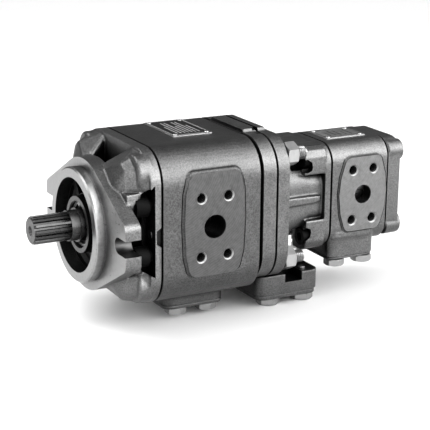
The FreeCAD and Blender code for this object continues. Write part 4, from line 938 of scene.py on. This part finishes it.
def rear_lug(side, rise):
    """A corner lug of the rear cover, which takes the head of a tie bolt."""
    outer = REAR_MIDDLE + rise * (REAR_TOP - REAR_MIDDLE - LUG_SKIN)
    inner = REAR_MIDDLE + rise * (REAR_TOP - REAR_MIDDLE - LUG_REACH[rise])
    edge = REAR_HALF - LUG_SKIN
    long, short = LUG_CORNER
    outline = [(LUG_ROOT, outer), (edge - long, outer), (edge - short, outer - rise * short),
               (edge, outer - rise * long), (edge, inner), (LUG_ROOT, inner)]
    start = LUG_START if rise > 0 else LUG_START + 3
    return hull([(x, side * across, up) for x in (start, REAR_PLATE_START + 2)
                 for across, up in outline])


def lug_roof():
    """The web on top that runs from the two upper lugs down to the neck."""
    top = REAR_TOP - 0.8
    return hull([(REAR_PLATE_START, y, z) for y in (-27, 27) for z in (top, 35)]
                + [(LUG_START, y, top - 0.4) for y in (-27, 27)]
                + [(188.0, y, z) for y in (-20, 20) for z in (top - 3, 40)]
                + [(174.0, y, 40) for y in (-14, 14)])


def rib(side):
    """The cast rib along the middle of the neck's side."""
    return hull([(x, side * across, up) for x, across, *edges in RIB for up in edges])


def tie_spot(side, rise):
    """Where a tie bolt crosses the rear pump."""
    return side * TIE_ACROSS, REAR_MIDDLE + rise * TIE_UP


def tie_seat(side, rise):
    """The hollow in a lug for a tie bolt's head, open towards the neck and the side."""
    across, up = tie_spot(side, rise)
    window = hull([(x, side * y, up + rise * z) for y in (TIE_WINDOW_FLOOR, TIE_WINDOW_MOUTH)
                   for x, z in TIE_WINDOW])
    return [turned(TIE_SEAT, across, up, steps=48), window]


def make_rear_cover():
    """The rear pump's flange, neck, lugs and square plate in one casting."""
    flange, plate = end_outline(0.0), rear_outline(0.0)
    spigot_end = span("rear_cover")[1].x
    solids = [
        loft([(END_PLATE_END - STOCK, flange), (REAR_FLANGE_END, flange)]),
        crown(END_PLATE_END - 1, CROWN_END),
        loft([(x, rounded(rectangle((-wide, lift - tall), (wide, lift + tall)), corner, 12))
              for x, wide, tall, corner, lift in NECK]),
        loft([(REAR_PLATE_START + 1, plate), (REAR_COVER_END + STOCK, plate)]),
        turned([(REAR_COVER_END, REAR_CHAMBER_RADIUS + 1),
                (spigot_end + 2, REAR_CHAMBER_RADIUS + 1)], 0.0, REAR_CHAMBER_UP),
    ]
    solids += [rear_lug(side, rise) for side, rise in CORNERS]
    solids += [lug_roof()] + [rib(side) for side in SIDES]
    piece = cast("rear_cover_casting", solids, "rear_cast", 5, 0.45)
    for side, rise in CORNERS:
        machine(piece, tie_seat(side, rise), "recess_shade")
    machine(piece, [square_off(END_PLATE_END - OVERRUN, END_PLATE_END),
                    square_off(REAR_COVER_END, spigot_end + OVERRUN, REAR_CHAMBER_RADIUS,
                               REAR_CHAMBER_UP),
                    square_off(spigot_end, spigot_end + OVERRUN),
                    bore(END_PLATE_END - LEAD, SLEEVE_END, SLEEVE_BORE),
                    bore(SLEEVE_END - 10, SLEEVE_END + 8, 17.0),
                    bore(SLEEVE_END, spigot_end + LEAD, REAR_BUSH_RADIUS)], "bored")
    machine(piece, [joint_tool(end_outline, END_PLATE_END),
                    joint_tool(rear_outline, REAR_COVER_END)], "recess_shade")
    finish(piece, "castings", "rear_cover")


def cap_outline(grow):
    """The outline of the rear pump's end cover."""
    return plate_outline(CAP_HIGH.y, CAP_LOW.z, CAP_HIGH.z, REAR_CORNER - 1, grow)


def make_rear_end_cover():
    """The cap on the rear pump: a slab, a spigot and four corner bosses."""
    front, spigot = REAR_HIGH.x, REAR_CHAMBER_RADIUS + 1
    slab = cap_outline(0.0)
    boss = [(front + 2, 10.6), (CAP_HIGH.x - 1, 10.2), (CAP_HIGH.x, 9.0)]
    solids = [loft([(front - STOCK, slab), (CAP_HIGH.x - CAP_BOSS, slab)]),
              turned([(CAP_LOW.x - 1, spigot), (front + 1, spigot)], 0.0, REAR_CHAMBER_UP)]
    solids += [turned(boss, *tie_spot(side, rise)) for side, rise in CORNERS]
    piece = cast("rear_end_cover_casting", solids, "rear_cast", 3, 0.4)
    machine(piece, [square_off(CAP_LOW.x - OVERRUN, front, REAR_CHAMBER_RADIUS, REAR_CHAMBER_UP),
                    square_off(CAP_LOW.x - OVERRUN, CAP_LOW.x),
                    bore(CAP_LOW.x - LEAD, END_BUSH_FLOOR, REAR_BUSH_RADIUS)], "bored")
    machine(piece, [joint_tool(cap_outline, front + 0.3, 1.4, 0.8)], "recess_shade")
    finish(piece, "castings", "rear_end_cover")


# ---- suction block

BLOCK_CORNER = 9.0
NUT_CUT_ALONG, NUT_CUT_ACROSS, NUT_CUT_DEPTH = (176.0, 194.0), (27, 51), 8


def nut_cut(side, top):
    """The cut-out in the block's top beside a nut of the rear pump."""
    start, end = NUT_CUT_ALONG
    low, high = sorted(side * edge for edge in NUT_CUT_ACROSS)
    return block((start, low, top - NUT_CUT_DEPTH), (end, high, top + 9))


def make_suction_block():
    """The block under the end plates."""
    low, high = span("suction_block")
    outline = rounded(rectangle((low.x, low.y), (high.x, high.y)), BLOCK_CORNER, 8)
    blank = [loft([(low.z - STOCK, outline), (high.z, outline)], "z")]
    piece = cast("suction_block_casting", blank, "cast", 3, 0.4)
    machine(piece, [nut_cut(side, high.z) for side in SIDES], "recess_shade")
    machine(piece, [block((low.x - 10, low.y - 10, low.z - 10), (high.x + 10, high.y + 10, low.z)),
                    block((low.x - 10, low.y - 10, high.z), (high.x + 10, high.y + 10, high.z + 9))],
            "bored")
    finish(piece, "castings", "suction_block")


# ---- fasteners

STUD_SHANK, STUD_RADIUS, STUD_PITCH = 5.4, 6.0, 1.75
NUT_CORNER, NUT_BORE = 10.97, 6.02
SUCTION_BOLTS = {  # half width over corners, head height, shank radius
    "front_suction_bolts": (9.8, 6.4, 5.0),
    "rear_suction_bolts": (9.8, 6.4, 5.0),
    "block_bolts": (10.9, 7.5, 6.0),
}


def make_studs():
    """The studs between the end plate and the rear pump, threaded past their nuts."""
    low, high = span("flange_studs")
    nuts_low, nuts_high = span("stud_nuts")
    across, up = high.y - STUD_RADIUS, (high.z - low.z) / 2 - STUD_RADIUS
    middle = (high.z + low.z) / 2
    places = [(side * across, middle + rise * up) for side, rise in CORNERS]
    rods = []
    for place in places:
        rods.append(turned([(low.x, STUD_SHANK), (nuts_low.x, STUD_SHANK)], *place, steps=24))
        rods.append(threaded(*place, nuts_low.x - 1, high.x - 1.2, STUD_RADIUS, STUD_PITCH))
        rods.append(turned([(high.x - 1.4, 5.5), (high.x - 0.6, 5.2), (high.x, 4.4)], *place,
                           steps=32))
    finish(make("flange_stud_set", rods, "zinc"), "zinc_fasteners", "flange_studs")
    nuts = [hexagon(*place, nuts_low.x, nuts_high.x, NUT_CORNER, bore=NUT_BORE)
            for place in places]
    finish(make("stud_nut_set", nuts, "zinc"), "zinc_fasteners", "stud_nuts")


def make_suction_bolts(node, corner, head, shank):
    """Four hexagon bolts with their heads down, each with a round bearing face."""
    low, high = span(node)
    flat = corner * math.cos(math.pi / 6)
    top = low.z + head
    places = [(x, y) for x in (low.x + corner, high.x - corner)
              for y in (low.y + flat, high.y - flat)]
    solids = []
    for place in places:
        solids.append(hexagon(*place, top - 1.2, low.z, corner, "z", both=False))
        solids.append(turned([(top - 1.4, flat * 1.04), (top, flat * 1.04)], *place, "z", 64))
        solids.append(turned([(top - 0.5, shank), (high.z, shank)], *place, "z", 32))
    finish(make(node + "_set", solids, "zinc"), "zinc_fasteners", node)


# ---- nameplates

NAMEPLATE_CORNER = 1.2
BORDER_INSET, BORDER_WIDTH = 2.0, 0.4
FIELD_HALF = 0.3  # half the width of a blank field
FIELD_FIRST, FIELD_START = 7, 8  # how far the fields stay from the sheet's edges
RIVET_RADIUS = 2.1
RIVET_DOME = [(0.15, 1.0), (0.5, 0.88), (0.8, 0.62), (0.95, 0.32), (1.0, 0.05)]


def frame_bars(low, high):
    """Corners of the four bars of a border inside a rectangle."""
    left, right = low.x + BORDER_INSET, high.x - BORDER_INSET
    near, far = low.y + BORDER_INSET, high.y - BORDER_INSET
    return [((left, near), (right, near + BORDER_WIDTH)),
            ((left, far - BORDER_WIDTH), (right, far)),
            ((left, near), (left + BORDER_WIDTH, far)),
            ((right - BORDER_WIDTH, near), (right, far))]


def make_nameplate(node, panel, line, slot, rows):
    """A riveted sheet with an inset panel, a border and rows of blank fields."""
    low, high = span(node)
    edge, bevel, inner = [
        rounded(rectangle((low.x + inset, low.y + inset), (high.x - inset, high.y - inset)),
                NAMEPLATE_CORNER, 4) for inset in (0.0, 0.3, 1.0)]
    sheet = [loft([(low.z, edge), (high.z - 0.3, edge), (high.z - 0.1, bevel)], "z")]
    finish(make(node + "_sheet", sheet, "etched"), slot, node)
    face = [loft([(high.z - 0.2, inner), (high.z, inner)], "z")]
    finish(make(node + "_panel", face, panel), slot)
    bars = frame_bars(low, high)
    step = (high.x - low.x - 2 * FIELD_FIRST) / rows
    length = high.y - low.y - 2 * FIELD_START
    for row in range(rows):
        x = low.x + FIELD_FIRST + (row + 0.5) * step
        reach = length * (0.95 if row % 3 else 0.6)
        bars.append(((x - FIELD_HALF, low.y + FIELD_START),
                     (x + FIELD_HALF, low.y + FIELD_START + reach)))
    solids = [block((*start, high.z - 0.05), (*end, high.z + 0.1)) for start, end in bars]
    finish(make(node + "_lines", solids, line), slot)
    make_rivets(node + "_rivets")


def make_rivets(node):
    """Domed rivets at the corners of a nameplate."""
    low, high = span(node)
    height = high.z - low.z
    places = [(x, y) for x in (low.x + RIVET_RADIUS, high.x - RIVET_RADIUS)
              for y in (low.y + RIVET_RADIUS, high.y - RIVET_RADIUS)]
    profile = [(low.z - 0.4, RIVET_RADIUS)]
    profile += [(low.z + rise * height, RIVET_RADIUS * share) for rise, share in RIVET_DOME]
    solids = [turned(profile, *place, "z", 32) for place in places]
    finish(make(node + "_domes", solids, "rivet"), "rivets", node)


# ---- carried-over CAD nodes

# Each metal, the width of the broken edge, and the CAD nodes that wear them
CARRIED = {
    "shaft": (0.25, ["drive_shaft"]),
    "ground": (0.15, ["rear_pinion_shaft", "front_ring_gear", "rear_ring_gear", "front_dowels",
                      "middle_dowels", "rear_dowels", "front_stop_pin", "rear_stop_pin",
                      "front_filler_carrier", "front_filler_segment", "rear_filler_carrier",
                      "rear_filler_segment"]),
    "oxide_and_shade": (0.3, ["coupling_sleeve", "cover_bolts", "tie_bolts"]),
    "zinc": (0.15, ["block_plug", "seal_clip"]),
    "bronze": (0.2, ["front_bush", "middle_bush", "rear_bush", "end_bush",
                     "front_inner_axial_disc", "front_outer_axial_disc",
                     "rear_inner_axial_disc", "rear_outer_axial_disc"]),
    "rubber": (0.0, ["shaft_seal", "coupling_seal", "front_cover_o_ring", "end_plate_o_ring",
                     "rear_cover_o_ring", "end_cover_o_ring"]),
    "gasket": (0.0, ["front_suction_gasket", "rear_suction_gasket", "block_gasket"]),
    "cast": (0.5, ["front_suction_cover", "rear_suction_cover", "block_cover"]),
}


def dress_carried_nodes():
    """Give the CAD's own pieces their metals and break their edges."""
    for metal, (width, nodes) in CARRIED.items():
        for node in nodes:
            piece = frame["nodes"][node]
            piece.data.materials.clear()
            piece.data.materials.append(METALS[metal])
            if width:
                weld = piece.modifiers.new("weld", "WELD")
                weld.merge_threshold = 0.00001
                bevel = piece.modifiers.new("bevel", "BEVEL")
                bevel.width = width * MM
                bevel.segments = 2
                bevel.limit_method = "ANGLE"
                bevel.angle_limit = math.radians(35)


# ---- camera, light and floor

CAMERA_AZIMUTH = math.radians(-28.21)
CAMERA_ELEVATION = math.radians(16.12)
CAMERA_ROLL = math.radians(0.55)
CAMERA_SPOT = Vector((-0.4553, -1.0900, 0.3487))
CAMERA_LENS = 118.05
# What metals mirror: dark away from SKY_TOWARDS, bright towards it, as (position, level)
SKY_TOWARDS = (0.40, -0.80, 0.45)
SKY = [(0.0, 0.014), (0.55, 0.02), (0.74, 0.10), (0.88, 0.65), (0.95, 1.0)]
SKY_STRENGTH = 7.0


def make_camera():
    """The viewpoint: from the shaft end and above, on the side of the pressure ports."""
    data = bpy.data.cameras.new("camera")
    data.lens = CAMERA_LENS
    data.sensor_width = 36.0
    camera = bpy.data.objects.new("camera", data)
    bpy.context.scene.collection.objects.link(camera)
    level = math.cos(CAMERA_ELEVATION)
    back = Vector((math.sin(CAMERA_AZIMUTH) * level, -math.cos(CAMERA_AZIMUTH) * level,
                   math.sin(CAMERA_ELEVATION)))
    camera.rotation_mode = "QUATERNION"
    camera.rotation_quaternion = (
        (-back).to_track_quat("-Z", "Y") @ Quaternion((0, 0, 1), CAMERA_ROLL))
    camera.location = CAMERA_SPOT
    bpy.context.scene.camera = camera


def area_light(name, spot, aim, width, height, power):
    """A soft rectangular lamp at a spot, turned towards a point."""
    data = bpy.data.lights.new(name, "AREA")
    data.shape = "RECTANGLE"
    data.size = width
    data.size_y = height
    data.energy = power
    lamp = bpy.data.objects.new(name, data)
    bpy.context.scene.collection.objects.link(lamp)
    lamp.location = spot
    lamp.rotation_mode = "QUATERNION"
    lamp.rotation_quaternion = (Vector(aim) - Vector(spot)).to_track_quat("-Z", "Y")


def make_world():
    """Plain white to the eye; metals mirror a dark room that is bright towards one side."""
    world = bpy.data.worlds.new("studio")
    bpy.context.scene.world = world
    world.use_nodes = True
    nodes, link = world.node_tree.nodes, world.node_tree.links.new
    nodes.clear()
    place, facing, share, ramp, path, white, room, mix, output = [
        nodes.new("ShaderNode" + kind) for kind in (
            "TexCoord", "VectorMath", "MapRange", "ValToRGB", "LightPath", "Background",
            "Background", "MixShader", "OutputWorld")]
    white.inputs["Color"].default_value = (1, 1, 1, 1)
    white.inputs["Strength"].default_value = 1.0
    room.inputs["Strength"].default_value = SKY_STRENGTH
    facing.operation = "DOT_PRODUCT"
    facing.inputs[1].default_value = SKY_TOWARDS
    share.inputs["From Min"].default_value = -1.0
    stops = ramp.color_ramp.elements
    while len(stops) < len(SKY):
        stops.new(0.5)
    for stop, (position, level) in zip(stops, SKY):
        stop.position = position
        stop.color = (level, level, level, 1.0)
    link(place.outputs["Generated"], facing.inputs[0])
    link(facing.outputs["Value"], share.inputs["Value"])
    link(share.outputs["Result"], ramp.inputs["Fac"])
    link(ramp.outputs["Color"], room.inputs["Color"])
    link(path.outputs["Is Glossy Ray"], mix.inputs["Fac"])
    link(white.outputs[0], mix.inputs[1])
    link(room.outputs[0], mix.inputs[2])
    link(mix.outputs[0], output.inputs["Surface"])


def make_floor():
    """A plain pale floor under the pump's lowest point."""
    bpy.ops.mesh.primitive_plane_add(size=8.0, location=(0.13, 0.0, CAD_LOW.z))
    floor = bpy.context.object
    floor.name = "floor"
    surface = Surface("floor_paint", 0.9, 0.0, 0.8)
    surface.shade(surface.noise(3.0), 0.98, 1.0)
    floor.data.materials.append(surface.material)


def make_lights():
    """Four soft lamps round the pump; powers are in watts."""
    area_light("front", (0.85, -1.15, 0.70), (0.18, 0, 0), 1.0, 0.5, 8)
    area_light("left", (-1.3, -0.7, 0.45), (0.0, 0, 0), 0.7, 1.0, 10)
    area_light("above", (-0.55, 0.35, 1.0), (0.0, 0, 0), 0.8, 0.8, 12)
    area_light("right", (1.4, -0.5, 0.35), (0.25, 0, 0), 0.6, 0.6, 7)


make_camera()
make_world()
make_floor()
make_lights()
make_front_cover()
for stage, sizes in CASINGS.items():
    make_casing(stage, **sizes)
make_end_plate()
make_end_plate_groove()
make_rear_cover()
make_rear_end_cover()
make_suction_block()
make_studs()
for node, sizes in SUCTION_BOLTS.items():
    make_suction_bolts(node, *sizes)
make_nameplate("front_nameplate", "enamel", "print", "dark_plate", 7)
make_nameplate("rear_nameplate", "etched", "oxide_and_shade", "light_plate", 5)
dress_carried_nodes()
bpy.context.scene.view_settings.view_transform = "Standard"
